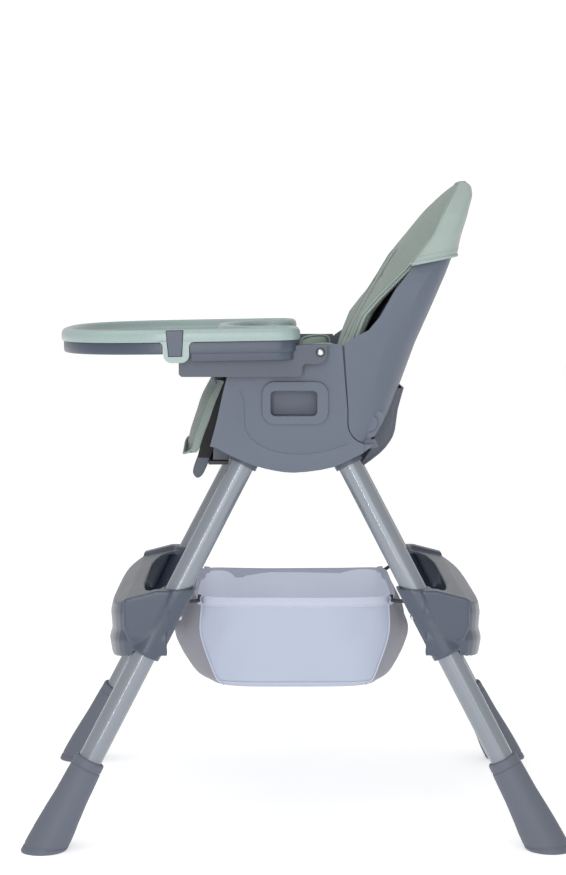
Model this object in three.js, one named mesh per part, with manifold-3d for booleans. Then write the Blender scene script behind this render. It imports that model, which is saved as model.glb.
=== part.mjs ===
// A baby high chair: a moulded seat on four splayed tubular legs, with a reclining backrest, a two-part
// sliding tray on lift-up arms, a padded cover, a five-point harness and a fabric basket between the legs.
// Millimetres. +Z is up, -Y is the way the child faces, +X is the child's left. The floor is at z = 0.
import * as THREE from 'three';
import { mergeVertices } from 'three/addons/utils/BufferGeometryUtils.js';
import Module from 'manifold-3d';

const wasm = await Module();
wasm.setup();

// ---- driving dimensions ----
const GAP = 0.4;                 // clearance between pieces that touch
const WALL = 4;                  // wall of the moulded shells

const PANEL_X = 212;             // outer face of the seat's side panels and of the backrest wings
const PANEL_T = 6;
const ARM_TOP = 735;             // top edge of the side panels

const PIVOT_Y = 106;             // recline pivot
const PIVOT_Z = 620;
const PIVOT_R = 30;              // rounded lower end of each backrest wing

const TUBE_R = 17.5;             // leg tubes
const TUBE_T = 1.3;
const LEG_TOP = 560;             // height at which the next four values hold
const LEG_X = 184;               // a leg's axis at that height
const LEG_Y = 77;
const SPLAY_X = 0.139;           // sideways run of a leg for each unit of drop
const SPLAY_Y = 0.521;           // fore-and-aft run of a leg for each unit of drop

const SLEEVE_R = 23;             // bracket sleeves round the legs
const SLEEVE_LOW = 280;
const SLEEVE_HIGH = 378;
const TUBE_JOINT = 318;          // where the upper and lower tube meet, inside the sleeve

const TRAY_TILT = THREE.MathUtils.degToRad(1.0);
const TRAY_HALF = 258;           // half width of the tray
const TRAY_FRONT = -357;
const TRAY_SIDE_START = -150;    // the front curve of the tray starts here
const TRAY_ARM_END = 6;          // rear ends of the tray's two arms
const TRAY_RIM = 758;
const TRAY_JOIN = 739.6;         // the top tray rests on the tray base here
const TRAY_BASE_LOW = 722.5;
const TRAY_RAIL_LOW = 711;

// ---- materials ----
const plastic = (color, roughness) => new THREE.MeshStandardMaterial({ color, roughness, metalness: 0 });
const slate = plastic('#727b8d', 0.5);
const slateDark = plastic('#5a626d', 0.55);
const mint = plastic('#a9bdba', 0.35);
const leatherette = plastic('#98a9a2', 0.6);
const black = plastic('#1f2224', 0.7);
const basketCloth = plastic('#bcc4d8', 0.9);
const webbing = plastic('#3b3f45', 0.9);
const paintedTube = new THREE.MeshStandardMaterial({ color: '#9ba1ab', roughness: 0.35, metalness: 0.6 });
const steel = new THREE.MeshStandardMaterial({ color: '#c9ccd0', roughness: 0.25, metalness: 1 });

const chair = new THREE.Group();

// ---- solids: three.js geometry in, joined and cut, three.js geometry out ----
function toSolid(geometry) {
  const plain = geometry.clone();
  plain.deleteAttribute('normal');
  plain.deleteAttribute('uv');
  const merged = mergeVertices(plain, 1e-4);
  return new wasm.Manifold(new wasm.Mesh({
    numProp: 3,
    vertProperties: new Float32Array(merged.attributes.position.array),
    triVerts: new Uint32Array(merged.index.array),
  }));
}

// Edges shorter than this, left where two cuts nearly meet, are closed up.
const SHORTEST_EDGE = 0.02;

function toGeometry(solid) {
  const mesh = solid.asOriginal().simplify(SHORTEST_EDGE).getMesh();
  const geometry = new THREE.BufferGeometry();
  geometry.setAttribute('position', new THREE.BufferAttribute(new Float32Array(mesh.vertProperties), 3));
  geometry.setIndex(new THREE.BufferAttribute(new Uint32Array(mesh.triVerts), 1));
  return geometry;
}

function add(name, solid, material, parent = chair) {
  const mesh = new THREE.Mesh(toGeometry(solid), material);
  mesh.name = name;
  parent.add(mesh);
  return mesh;
}

const join = (...solids) => solids.reduce((whole, next) => whole.add(next));
const cut = (solid, ...tools) => tools.reduce((left, tool) => left.subtract(tool), solid);

// ---- shapes ----
const shapeOf = (points) => new THREE.Shape(points.map(([a, b]) => new THREE.Vector2(a, b)));

// A block between two corners.
function block(x0, x1, y0, y1, z0, z1) {
  const geometry = new THREE.BoxGeometry(x1 - x0, y1 - y0, z1 - z0);
  geometry.translate((x0 + x1) / 2, (y0 + y1) / 2, (z0 + z1) / 2);
  return toSolid(geometry);
}

// A side-view outline of [y, z] points, made solid from x0 to x1.
function prismX(points, x0, x1) {
  const geometry = new THREE.ExtrudeGeometry(shapeOf(points), { depth: x1 - x0, bevelEnabled: false });
  const turn = new THREE.Matrix4().makeBasis(
    new THREE.Vector3(0, 1, 0), new THREE.Vector3(0, 0, 1), new THREE.Vector3(1, 0, 0));
  geometry.applyMatrix4(turn);
  geometry.translate(x0, 0, 0);
  return toSolid(geometry);
}

// The same outline on the +X side and, mirrored, on the -X side.
const prismSide = (side, points, x0, x1) => (
  side > 0 ? prismX(points, x0, x1) : prismX(points, -x1, -x0));

// A plan outline of [x, y] points, made solid from z0 to z1.
function prismZ(points, z0, z1) {
  const geometry = new THREE.ExtrudeGeometry(shapeOf(points), { depth: z1 - z0, bevelEnabled: false });
  geometry.translate(0, 0, z0);
  return toSolid(geometry);
}

// A round bar between two points.
function rod(start, end, radius, segments = 24) {
  const a = new THREE.Vector3(...start);
  const b = new THREE.Vector3(...end);
  const along = b.clone().sub(a);
  const geometry = new THREE.CylinderGeometry(radius, radius, along.length(), segments);
  const up = new THREE.Vector3(0, 1, 0);
  geometry.applyQuaternion(new THREE.Quaternion().setFromUnitVectors(up, along.normalize()));
  geometry.translate(...a.add(b).multiplyScalar(0.5).toArray());
  return toSolid(geometry);
}

// A closed skin over equal rings of points, with a fan closing each end.
function loft(rings) {
  const count = rings[0].length;
  const positions = rings.flat(2);
  const index = [];
  for (let level = 0; level < rings.length - 1; level += 1) {
    for (let k = 0; k < count; k += 1) {
      const next = (k + 1) % count;
      const a = level * count + k;
      const b = level * count + next;
      index.push(a, b, b + count, a, b + count, a + count);
    }
  }
  for (const [ring, start, flip] of [
    [rings[0], 0, true], [rings[rings.length - 1], (rings.length - 1) * count, false]]) {
    const centre = [0, 1, 2].map((axis) => ring.reduce((sum, point) => sum + point[axis], 0) / count);
    const middle = positions.length / 3;
    positions.push(...centre);
    for (let k = 0; k < count; k += 1) {
      const a = start + k;
      const b = start + ((k + 1) % count);
      index.push(...(flip ? [middle, b, a] : [middle, a, b]));
    }
  }
  const geometry = new THREE.BufferGeometry();
  geometry.setAttribute('position', new THREE.Float32BufferAttribute(positions, 3));
  geometry.setIndex(index);
  return toSolid(geometry);
}

// A cross-section of [out, z] points carried along a plan path of {x, y, nx, ny, rise}.
function sweepPlan(path, section) {
  const rings = path.map(({ x, y, nx, ny, rise }) => (
    section.map(([out, z]) => [x + nx * out, y + ny * out, z + rise])));
  const count = section.length;
  const positions = rings.flat(2);
  const index = [];
  for (let level = 0; level < rings.length - 1; level += 1) {
    for (let k = 0; k < count; k += 1) {
      const next = (k + 1) % count;
      const a = level * count + k;
      const b = level * count + next;
      index.push(a, b + count, b, a, a + count, b + count);
    }
  }
  const cap = THREE.ShapeUtils.triangulateShape(section.map(([a, b]) => new THREE.Vector2(a, b)), []);
  const last = (rings.length - 1) * count;
  for (const [a, b, c] of cap) index.push(a, b, c, last + a, last + c, last + b);
  const geometry = new THREE.BufferGeometry();
  geometry.setAttribute('position', new THREE.Float32BufferAttribute(positions, 3));
  geometry.setIndex(index);
  return toSolid(geometry);
}

// Points on an arc of [a, b] coordinates, angles in degrees.
function arc(centreA, centreB, radius, from, to, steps) {
  return Array.from({ length: steps + 1 }, (_, k) => {
    const angle = THREE.MathUtils.degToRad(from + ((to - from) * k) / steps);
    return [centreA + radius * Math.cos(angle), centreB + radius * Math.sin(angle)];
  });
}

// A smooth line through a few [a, b] points.
function smooth(points, steps) {
  const curve = new THREE.SplineCurve(points.map(([a, b]) => new THREE.Vector2(a, b)));
  return curve.getPoints(steps).map((point) => [point.x, point.y]);
}

// A rounded rectangle of [a, b] points.
function roundedBox(a0, a1, b0, b1, radius, steps = 4) {
  return [
    ...arc(a1 - radius, b1 - radius, radius, 0, 90, steps),
    ...arc(a0 + radius, b1 - radius, radius, 90, 180, steps),
    ...arc(a0 + radius, b0 + radius, radius, 180, 270, steps),
    ...arc(a1 - radius, b0 + radius, radius, 270, 360, steps),
  ];
}

// Height-wise interpolation in a table of [z, value] rows.
function at(table, z) {
  const last = table.length - 1;
  if (z <= table[0][0]) return table[0][1];
  if (z >= table[last][0]) return table[last][1];
  const row = table.findIndex(([height]) => height > z);
  const [z0, v0] = table[row - 1];
  const [z1, v1] = table[row];
  return v0 + ((v1 - v0) * (z - z0)) / (z1 - z0);
}

// A band between a [y, z] line and the same line moved by thickness along its own normal.
function band(line, from, to) {
  const offset = (distance) => line.map((point, k) => {
    const before = line[Math.max(k - 1, 0)];
    const after = line[Math.min(k + 1, line.length - 1)];
    const along = new THREE.Vector2(after[0] - before[0], after[1] - before[1]).normalize();
    return [point[0] + along.y * distance, point[1] - along.x * distance];
  });
  return [...offset(from), ...offset(to).reverse()];
}

// ---- seat ----
const SEAM = [[68, 735], [72, 686], [76, 640], [77, 620]];
const panelFront = smooth([[-97, 700], [-106, 668], [-116, 623], [-126, 586]], 8);
const panelBottom = smooth(
  [[-117, 584], [-97, 573], [-65, 559], [-30, 550], [2, 547.5], [49, 554], [78, 566]], 14);
const panelOutline = [
  [68 - 1.5, ARM_TOP], [-84, ARM_TOP], [-90, 727], ...panelFront, ...panelBottom,
  [98, 576], [100, PIVOT_Z - PIVOT_R - 1.5],
  ...arc(PIVOT_Y, PIVOT_Z, PIVOT_R + 1.5, 250, 180, 6),
  [SEAM[2][0] - 1.5, SEAM[2][1]], [SEAM[1][0] - 1.5, SEAM[1][1]],
];
const RING = { y0: -50, y1: 47, z0: 618, z1: 681 };
const POCKET = { y0: -37, y1: 30, z0: 631, z1: 667 };
const POCKET_DEPTH = 22;
const ARM_PIN_Y = 34.6;
const ARM_PIN_Z = 724;

for (const [side, name] of [[1, 'left'], [-1, 'right']]) {
  const inner = PANEL_X - PANEL_T;
  const bezelHole = roundedBox(POCKET.y0 - 4, POCKET.y1 + 4, POCKET.z0 - 4, POCKET.z1 + 4, 9);
  add(`side_panel_${name}`, cut(
    prismSide(side, panelOutline, inner, PANEL_X),
    prismSide(side, bezelHole, inner - 5, PANEL_X + 5),
    rod([side * 190, ARM_PIN_Y, ARM_PIN_Z], [side * 230, ARM_PIN_Y, ARM_PIN_Z], 3.4, 16)), slate);

  const ring = roundedBox(RING.y0, RING.y1, RING.z0, RING.z1, 18);
  const plugEdge = 4 - GAP;
  const plug = roundedBox(
    POCKET.y0 - plugEdge, POCKET.y1 + plugEdge, POCKET.z0 - plugEdge, POCKET.z1 + plugEdge, 8.6);
  const pocket = roundedBox(POCKET.y0, POCKET.y1, POCKET.z0, POCKET.z1, 6);
  add(`carry_handle_${name}`, cut(
    join(
      prismSide(side, ring, PANEL_X + GAP, PANEL_X + 3.5),
      prismSide(side, plug, PANEL_X - POCKET_DEPTH, PANEL_X + 1)),
    prismSide(side, pocket, PANEL_X - POCKET_DEPTH + 3, PANEL_X + 9)), slate);
}

const SEAT_HALF = PANEL_X - PANEL_T - GAP;
const panTop = smooth(
  [[-109, 632], [-106, 648], [-94, 655], [-50, 647], [10, 634], [50, 627], [58, 629]], 14);
const seatPan = prismX(band(panTop, 0, WALL), -SEAT_HALF, SEAT_HALF);
const handleRoomOutline = roundedBox(POCKET.y0 - 6, POCKET.y1 + 6, POCKET.z0 - 6, POCKET.z1 + 6, 8);
const handleRoom = (side) => prismSide(side, handleRoomOutline, PANEL_X - POCKET_DEPTH - 2, PANEL_X);
add('seat_pan', cut(seatPan, handleRoom(1), handleRoom(-1)), slate);

const legAxis = (side, end, z) => [
  side * (LEG_X + SPLAY_X * (LEG_TOP - z)), end * (LEG_Y + SPLAY_Y * (LEG_TOP - z)), z];
const corners = [[1, -1, 'front_left'], [-1, -1, 'front_right'], [1, 1, 'rear_left'], [-1, 1, 'rear_right']];

const SOCKET_R = 21.4;
const TUBE_TOP = 596;
const baseOutline = [[-104, 588], [-98, 576], [30, 576], [44, 588], [44, 592], [-104, 592]];
let seatBase = prismX(baseOutline, -160, 160);
for (const [side, end] of corners) {
  const reach = end < 0 ? [-92, -40] : [20, 78];
  const shelf = block(Math.min(side * 150, side * 190), Math.max(side * 150, side * 190), ...reach, 584, 592);
  seatBase = join(seatBase, rod(legAxis(side, end, 556), legAxis(side, end, TUBE_TOP + 6), SOCKET_R), shelf);
}
for (const [side, end] of corners) {
  seatBase = cut(seatBase, rod(legAxis(side, end, 520), legAxis(side, end, TUBE_TOP + GAP), TUBE_R + GAP));
}
add('seat_base', seatBase, slateDark);

// The calf plate hangs from the front of the seat and its rounded end shows below the pad.
const calfLine = smooth([[-104, 620], [-117, 588], [-129, 560], [-135, 546]], 8);
const calfPlate = join(
  prismX(band(calfLine, 0, 15), -122, 122),
  rod([-122, -142, 543.5], [122, -142, 543.5], 7.4, 16));
add('calf_plate', calfPlate, slate);
add('front_crossbar', rod([-160.5, -112, 563], [160.5, -112, 563], 6, 12), black);

// ---- backrest ----
const shellRear = [
  [588, 112], [600, 119], [629, 140], [680, 160], [733, 180], [780, 200], [835, 224], [861, 234],
  [888, 240], [930, 254], [955, 260], [968, 258]];
const shellHalf = [
  [588, PANEL_X], [735, PANEL_X], [790, 208], [835, 199], [861, 191], [895, 176], [925, 154], [948, 124],
  [962, 90], [968, 60]];
const shellFront = [
  [588, 70], [735, 66], [747, 86], [755, 100], [775, 119], [813, 141], [845, 166], [870, 186], [900, 206],
  [930, 224], [955, 238], [968, 246]];
const levels = [588, 600, 629, 680, 735, 780, 813, 835, 861, 888, 910, 930, 948, 960, 968];
const CORNER_POWER = 2 / 5;      // how squarely the shell's side turns into its back
const RING_STEPS = 16;

// Each level is a flat front line and, behind it, half of a squared-off ellipse. A mouth carries the
// two sides straight forward of the front line.
function backRing(z, grow, frontGrow, mouth = 0) {
  const half = at(shellHalf, z) + grow;
  const rear = at(shellRear, z) + grow;
  const front = at(shellFront, z) - frontGrow;
  const rearHalf = Array.from({ length: RING_STEPS + 1 }, (_, k) => {
    const angle = (Math.PI * k) / RING_STEPS;
    const c = Math.cos(angle);
    return [
      half * Math.sign(c) * Math.abs(c) ** CORNER_POWER,
      front + (rear - front) * Math.abs(Math.sin(angle)) ** CORNER_POWER,
      z];
  });
  return mouth ? [[half, front - mouth, z], ...rearHalf, [-half, front - mouth, z]] : rearHalf;
}
const backBody = (grow, frontGrow, zs, mouth = 0) => loft(zs.map((z) => backRing(z, grow, frontGrow, mouth)));
const lowLevels = [560, ...levels];

const wingOutline = [
  ...arc(PIVOT_Y, PIVOT_Z, PIVOT_R, 180, 292, 8), [300, 590], [300, 990], [250, 990],
  [243, 968], [228, 940], [206, 905], [184, 873],
  [169, 845], [144, 813], [122, 775], [105, 755], [89, 747], [69.5, 734], [73, 686], [76, 640]];
const shellCavity = backBody(-5, 0, [550, ...levels.slice(0, -1), 962], 70);
const pivotBoss = (side, radius, x0, x1) => (
  rod([side * x0, PIVOT_Y, PIVOT_Z], [side * x1, PIVOT_Y, PIVOT_Z], radius, 20));
const PADDLE = { half: 42, z0: 690, z1: 736 };
let shell = cut(backBody(0, 0, lowLevels), shellCavity).intersect(prismX(wingOutline, -230, 230));
const pivotRoom = arc(PIVOT_Y, PIVOT_Z, 19, 0, 360, 16).slice(0, -1);
shell = cut(shell, block(-152, 152, 60, 300, 560, 642));
for (const side of [1, -1]) {
  shell = cut(shell, prismSide(side, pivotRoom, 150, PANEL_X - 5));
  shell = cut(join(shell, pivotBoss(side, 13, 202.5, 208)), pivotBoss(side, 6.2, 190, 207.4));
}
add('backrest_shell', cut(shell, block(-44, 44, 120, 260, PADDLE.z0 - 2, PADDLE.z1 + 10)), slate);

const paddleLine = [[166.5, PADDLE.z0], [183.5, PADDLE.z1]];
add('recline_paddle', join(
  prismX(band(paddleLine, -4.5, 0), -PADDLE.half, PADDLE.half),
  prismX(band([[171, 702], [178, 722]], -14, -4), -30, 30)), slateDark);

const tailLine = smooth([[161, 668], [152, 635], [148, 605], [141, 588], [126, 570], [101, 551]], 10);
add('backrest_tail', prismX(band(tailLine, 0, 4), -150, 150), slateDark);

const padFront = smooth(
  [[51, 650], [63, 695], [82, 741], [112, 796], [152, 865], [180, 904], [208, 941], [236, 966]], 14);
const PAD_T = 20;
const padOutline = [[-158, 644], [158, 644], [176, 760], [176, 840], [170, 880], [152, 920], [124, 950],
  [80, 970], [0, 978], [-80, 970], [-124, 950], [-152, 920], [-170, 880], [-176, 840], [-176, 760]];
function prismY(points, y0, y1) {
  const geometry = new THREE.ExtrudeGeometry(shapeOf(points), { depth: y1 - y0, bevelEnabled: false });
  const turn = new THREE.Matrix4().makeBasis(
    new THREE.Vector3(1, 0, 0), new THREE.Vector3(0, 0, 1), new THREE.Vector3(0, -1, 0));
  geometry.applyMatrix4(turn);
  geometry.translate(0, y1, 0);
  return toSolid(geometry);
}
const boardOutline = padOutline.map(([x, z]) => [x * 0.97, Math.min(z, 838)]);
add('backrest_board', prismX(band(padFront, PAD_T + GAP, PAD_T + 5), -200, 200)
  .intersect(prismY(boardOutline, 0, 300)), slateDark);

const HEM_SLOPE = 0.35;
const hoodLevels = [820, 845, 861, 888, 910, 930, 948, 960, 968];
const hoodCrown = backRing(968, 2, 2).map(([x, y]) => [x, y, 977]);
const hoodTop = [...hoodLevels.map((z) => backRing(z, 7, 7)), hoodCrown];
const hemHeight = (y) => 845 + HEM_SLOPE * (y - 166);
const hemCut = prismX([[100, 700], [350, 700], [350, hemHeight(350)], [100, hemHeight(100)]], -260, 260);
const hood = cut(loft(hoodTop), hemCut);
const frontPad = prismX(band(padFront, 0, PAD_T), -200, 200).intersect(prismY(padOutline, 0, 300));
const coveredShell = backBody(GAP, GAP, [842, 861, 888, 910, 930, 948, 960, 968.4]);
add('backrest_cover', cut(join(hood, frontPad), coveredShell), leatherette);

// The recline hinge: a plate from the seat carries a bolt that ends inside each wing's boss.
for (const [side, name] of [[1, 'left'], [-1, 'right']]) {
  const sidePlate = [[62.5, 612], ...arc(PIVOT_Y, PIVOT_Z, 14, 260, 450, 8), [62.5, 640]];
  add(`recline_bracket_${name}`, cut(
    prismSide(side, sidePlate, 197, 201.5), pivotBoss(side, 6.2, 190, 210)), slateDark);
  add(`pivot_bolt_${name}`, join(pivotBoss(side, 6, 194, 207), pivotBoss(side, 9, 192, 196.6)), steel);
}

// ---- seat cushion and calf pad ----
const cushionFoot = smooth([[-94, 657], [-50, 649], [10, 636.5], [42, 630]], 8);
const cushionBase = prismX(band(cushionFoot, -20, 0), -170, 170);
const bolster = (side) => prismSide(side, [
  [-70, 656], [38, 640], [48, 648], [66, 745], [58, 745], [12, 737], [8, 704], [-40, 692]], 168, 184);
add('seat_cushion', join(cushionBase, bolster(1), bolster(-1)), leatherette);

const padLine = smooth([[-113, 672], [-128, 640], [-142, 606], [-155, 578], [-168, 567]], 10);
add('calf_pad', prismX(band(padLine, -9, 0), -106, 106), leatherette);

// ---- harness ----
const backLine = padFront.filter(([, z]) => z > 690 && z < 880);
for (const [side, name] of [[1, 'left'], [-1, 'right']]) {
  add(`shoulder_strap_${name}`, prismSide(side, band(backLine, -2.6, -GAP), 42, 67), webbing);
  const lapEnd = [side * 156, 36];
  const lapStart = [side * 34, -6];
  const run = new THREE.Vector2(lapEnd[0] - lapStart[0], lapEnd[1] - lapStart[1]).normalize();
  const across = [-run.y * 12.5, run.x * 12.5];
  const plan = [
    [lapStart[0] + across[0], lapStart[1] + across[1]], [lapStart[0] - across[0], lapStart[1] - across[1]],
    [lapEnd[0] - across[0], lapEnd[1] - across[1]], [lapEnd[0] + across[0], lapEnd[1] + across[1]]];
  add(`lap_strap_${name}`, prismZ(plan, 664, 666.2), webbing);
}
add('crotch_strap', prismX(band([[-70, 675], [-58, 672.5], [-25, 667.5]], -2.8, -GAP), -12.5, 12.5), webbing);
add('harness_buckle', prismZ(roundedBox(-27, 27, -24, 16, 9), 668, 680).subtract(
  prismZ(roundedBox(-8, 8, -14, 6, 6), 677.5, 690)), black);

// ---- arms ----
const armOutline = [
  [-166, 688.5], [-170, 692], [-170, 730], [-166, 734], [44, 734], ...arc(30, 721, 14, 0, -90, 5),
  [12, 707], [9, 704], [8, 692], [4, 688.5]];
for (const [side, name] of [[1, 'left'], [-1, 'right']]) {
  const bore = rod([side * 200, ARM_PIN_Y, ARM_PIN_Z], [side * 240, ARM_PIN_Y, ARM_PIN_Z], 3.4, 16);
  const peg = rod([side * 216, -121, 689], [side * 216, -118, 677], 3.2, 12);
  const armX = PANEL_X + 4;
  const rivetHead = armX + 15.4;
  add(`armrest_${name}`, join(cut(prismSide(side, armOutline, armX, armX + 15), bore), peg), slate);
  add(`arm_rivet_${name}`, join(
    rod([side * 203, ARM_PIN_Y, ARM_PIN_Z], [side * (armX + 16), ARM_PIN_Y, ARM_PIN_Z], 3, 16),
    rod([side * rivetHead, ARM_PIN_Y, ARM_PIN_Z], [side * (rivetHead + 2.2), ARM_PIN_Y, ARM_PIN_Z], 4.6, 20)), steel);
}

// ---- tray ----
const tray = new THREE.Group();
tray.position.set(0, -160, 740);
tray.rotation.x = TRAY_TILT;
chair.add(tray);
const trayPiece = (name, solid, material) => add(name, solid.translate([0, 160, -740]), material, tray);

const TRAY_CUT_HALF = 142;
const TRAY_CUT_DEPTH = 70;
const ARM_ROUND_START = -34;

// Plan of the tray: a full front curve, two arms with round ends, and an oval cut-out for the child.
function trayPlan(inset) {
  const curve = (centre, half, start, depth, power, from, to, steps) => (
    Array.from({ length: steps + 1 }, (_, k) => {
      const angle = THREE.MathUtils.degToRad(from + ((to - from) * k) / steps);
      const c = Math.cos(angle);
      const s = Math.sin(angle);
      return [
        centre + half * Math.sign(c) * Math.abs(c) ** (2 / power),
        start + depth * Math.sign(s) * Math.abs(s) ** (2 / power)];
    }));
  const armHalf = (TRAY_HALF - TRAY_CUT_HALF) / 2;
  const armCentre = (TRAY_HALF + TRAY_CUT_HALF) / 2;
  const armDepth = TRAY_ARM_END - ARM_ROUND_START - inset;
  return [
    ...curve(armCentre, armHalf - inset, ARM_ROUND_START, armDepth, 2.6, 0, 180, 8),
    ...curve(0, TRAY_CUT_HALF + inset, ARM_ROUND_START, TRAY_CUT_DEPTH + inset, 2.2, 0, -180, 14),
    ...curve(-armCentre, armHalf - inset, ARM_ROUND_START, armDepth, 2.6, 0, 180, 8),
    ...curve(0, TRAY_HALF - inset, TRAY_SIDE_START, TRAY_SIDE_START - TRAY_FRONT - inset, 2.9, 180, 360, 18),
  ];
}

const CLIP = { y0: -191, y1: -154, low: 710 };
const SLOT = [[-187, 757], [-161.4, 757], [-164, 719], [-184, 719]];
const LEVER = [[-186.4, 756.2], [-162, 756.2], [-164.6, 719.8], [-183.4, 719.8]];
const clipRoom = (side) => prismSide(side, [
  [CLIP.y0 - 1, 700], [CLIP.y1 + 1, 700], [CLIP.y1 + 1, 750], [CLIP.y0 - 1, 750]], 243, 270);
const armRoom = (side) => prismSide(side, [[-30, 700], [30, 700], [30, 736.8], [-30, 736.8]], 203, 234);
const TRAY_SKIN = 3;
const trayBase = cut(
  join(
    prismZ(trayPlan(3), TRAY_BASE_LOW, TRAY_JOIN - GAP),
    prismZ(trayPlan(6), TRAY_RAIL_LOW, TRAY_BASE_LOW + 1).subtract(block(-300, 300, -400, -151, 690, 730))),
  prismZ(trayPlan(3 + WALL + 3), 690, TRAY_JOIN - TRAY_SKIN),
  block(-190, 190, -130, 20, 690, TRAY_JOIN - TRAY_SKIN - 5),
  clipRoom(1), clipRoom(-1), armRoom(1), armRoom(-1));
trayPiece('tray_base', trayBase, slate);

const clipTab = [
  [CLIP.y0, 745], ...arc(CLIP.y0 + 12, CLIP.low + 12, 12, 180, 270, 4),
  ...arc(CLIP.y1 - 12, CLIP.low + 12, 12, 270, 360, 4), [CLIP.y1, 745]];
const trayTop = cut(
  join(
    prismZ(trayPlan(0), TRAY_JOIN, TRAY_RIM),
    prismSide(1, clipTab, 244, TRAY_HALF), prismSide(-1, clipTab, 244, TRAY_HALF)),
  prismZ(trayPlan(15), TRAY_JOIN + 4, 800),
  prismSide(1, SLOT, 248, 270), prismSide(-1, SLOT, 248, 270));
trayPiece('tray_top', trayTop, mint);
for (const [side, name] of [[1, 'left'], [-1, 'right']]) {
  trayPiece(`tray_clip_lever_${name}`, prismSide(side, LEVER, 252.5, 259.4), slate);
}
const squeezeBar = roundedBox(-38, 38, -318, -296, 8);
trayPiece('tray_slide_lever', prismZ(squeezeBar, 724, TRAY_JOIN - TRAY_SKIN - GAP - 0.4), mint);

// ---- legs ----
// A straight open tube between two heights on a leg's axis.
function tube(side, end, low, high) {
  const a = new THREE.Vector3(...legAxis(side, end, low));
  const b = new THREE.Vector3(...legAxis(side, end, high));
  const along = b.clone().sub(a);
  const length = along.length();
  const inner = TUBE_R - TUBE_T;
  const geometry = new THREE.LatheGeometry([
    new THREE.Vector2(inner, 0), new THREE.Vector2(TUBE_R, 0), new THREE.Vector2(TUBE_R, length),
    new THREE.Vector2(inner, length), new THREE.Vector2(inner, 0)], 24);
  const up = new THREE.Vector3(0, 1, 0);
  geometry.applyQuaternion(new THREE.Quaternion().setFromUnitVectors(up, along.normalize()));
  geometry.translate(...a.toArray());
  return toSolid(geometry);
}

const SNAP_Z = 344;
const axisDirection = (side, end) => new THREE.Vector3(side * SPLAY_X, end * SPLAY_Y, -1).normalize();
// A point beside a leg's axis, out towards the middle of the chair in the fore-and-aft plane.
function besideLeg(side, end, z, distance) {
  const inwards = new THREE.Vector3(0, -end, 0);
  const along = axisDirection(side, end);
  inwards.addScaledVector(along, -inwards.dot(along)).normalize();
  return new THREE.Vector3(...legAxis(side, end, z)).addScaledVector(inwards, distance).toArray();
}

const FOOT_TOP = 130;
const FOOT_SOLE = 7;
for (const [side, end, name] of corners) {
  const buttonHole = rod(besideLeg(side, end, SNAP_Z, 8), besideLeg(side, end, SNAP_Z, 40), 4.7, 12);
  add(`upper_leg_${name}`, cut(tube(side, end, TUBE_JOINT + 1, TUBE_TOP), buttonHole), paintedTube);
  add(`lower_leg_${name}`, tube(side, end, FOOT_SOLE + 8, TUBE_JOINT), paintedTube);
  add(`snap_button_${name}`, join(
    rod(besideLeg(side, end, SNAP_Z, 6), besideLeg(side, end, SNAP_Z, SLEEVE_R + 1.6), 4, 12),
    rod(besideLeg(side, end, SNAP_Z, 4), besideLeg(side, end, SNAP_Z, 12), 6, 12)), steel);

  const a = legAxis(side, end, FOOT_TOP);
  const b = legAxis(side, end, -40);
  const direction = new THREE.Vector3(...b).sub(new THREE.Vector3(...a));
  const length = direction.length();
  const geometry = new THREE.LatheGeometry([
    new THREE.Vector2(0, 0), new THREE.Vector2(21.5, 0),
    new THREE.Vector2(22.5, 2), new THREE.Vector2(22.5, 14),
    new THREE.Vector2(24.5, 60), new THREE.Vector2(29, length - 45), new THREE.Vector2(30, length),
    new THREE.Vector2(0, length)], 24);
  geometry.applyQuaternion(new THREE.Quaternion().setFromUnitVectors(
    new THREE.Vector3(0, 1, 0), direction.normalize()));
  geometry.translate(...a);
  const foot = cut(
    toSolid(geometry),
    rod(legAxis(side, end, FOOT_SOLE + 8 - 1), legAxis(side, end, FOOT_TOP + 20), TUBE_R + GAP, 24),
    block(-500, 500, -600, 600, -200, 0));
  add(`foot_${name}`, foot, slateDark);
}

// ---- leg brackets: two sleeves joined by a bow that bulges away from the chair ----
const bowSection = [
  [-1, 264], [3, 288], [-1, 303], [1, 328], [-2, 343], [-6, 343], [-4, 327], [-5, 303], [-1, 288], [-5, 264]];
const shelfLine = [[176, 373], [205, 371], [250, 361], [272, 349], [290, 335]];
const finOutline = [[182, 377], [204, 377.4], [252, 365], [252, 325], [245, 306], [216, 306]];
const BOW_HALF = 238;
const BOW_START = 188;
const BOW_DEPTH = 92;
const BOW_POWER = 4;
const BOW_STEPS = 20;

// Plan of the bow, from one side of the chair to the other.
function bowPlan(end, half, depth) {
  return Array.from({ length: BOW_STEPS + 1 }, (_, k) => {
    const angle = (Math.PI * k) / BOW_STEPS;
    const c = Math.cos(angle);
    const s = Math.abs(Math.sin(angle));
    return {
      x: half * Math.sign(c) * Math.abs(c) ** (2 / BOW_POWER),
      y: end * (BOW_START + depth * s ** (2 / BOW_POWER)),
      rise: 16 * Math.abs(c) ** 1.5,
    };
  });
}

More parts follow.
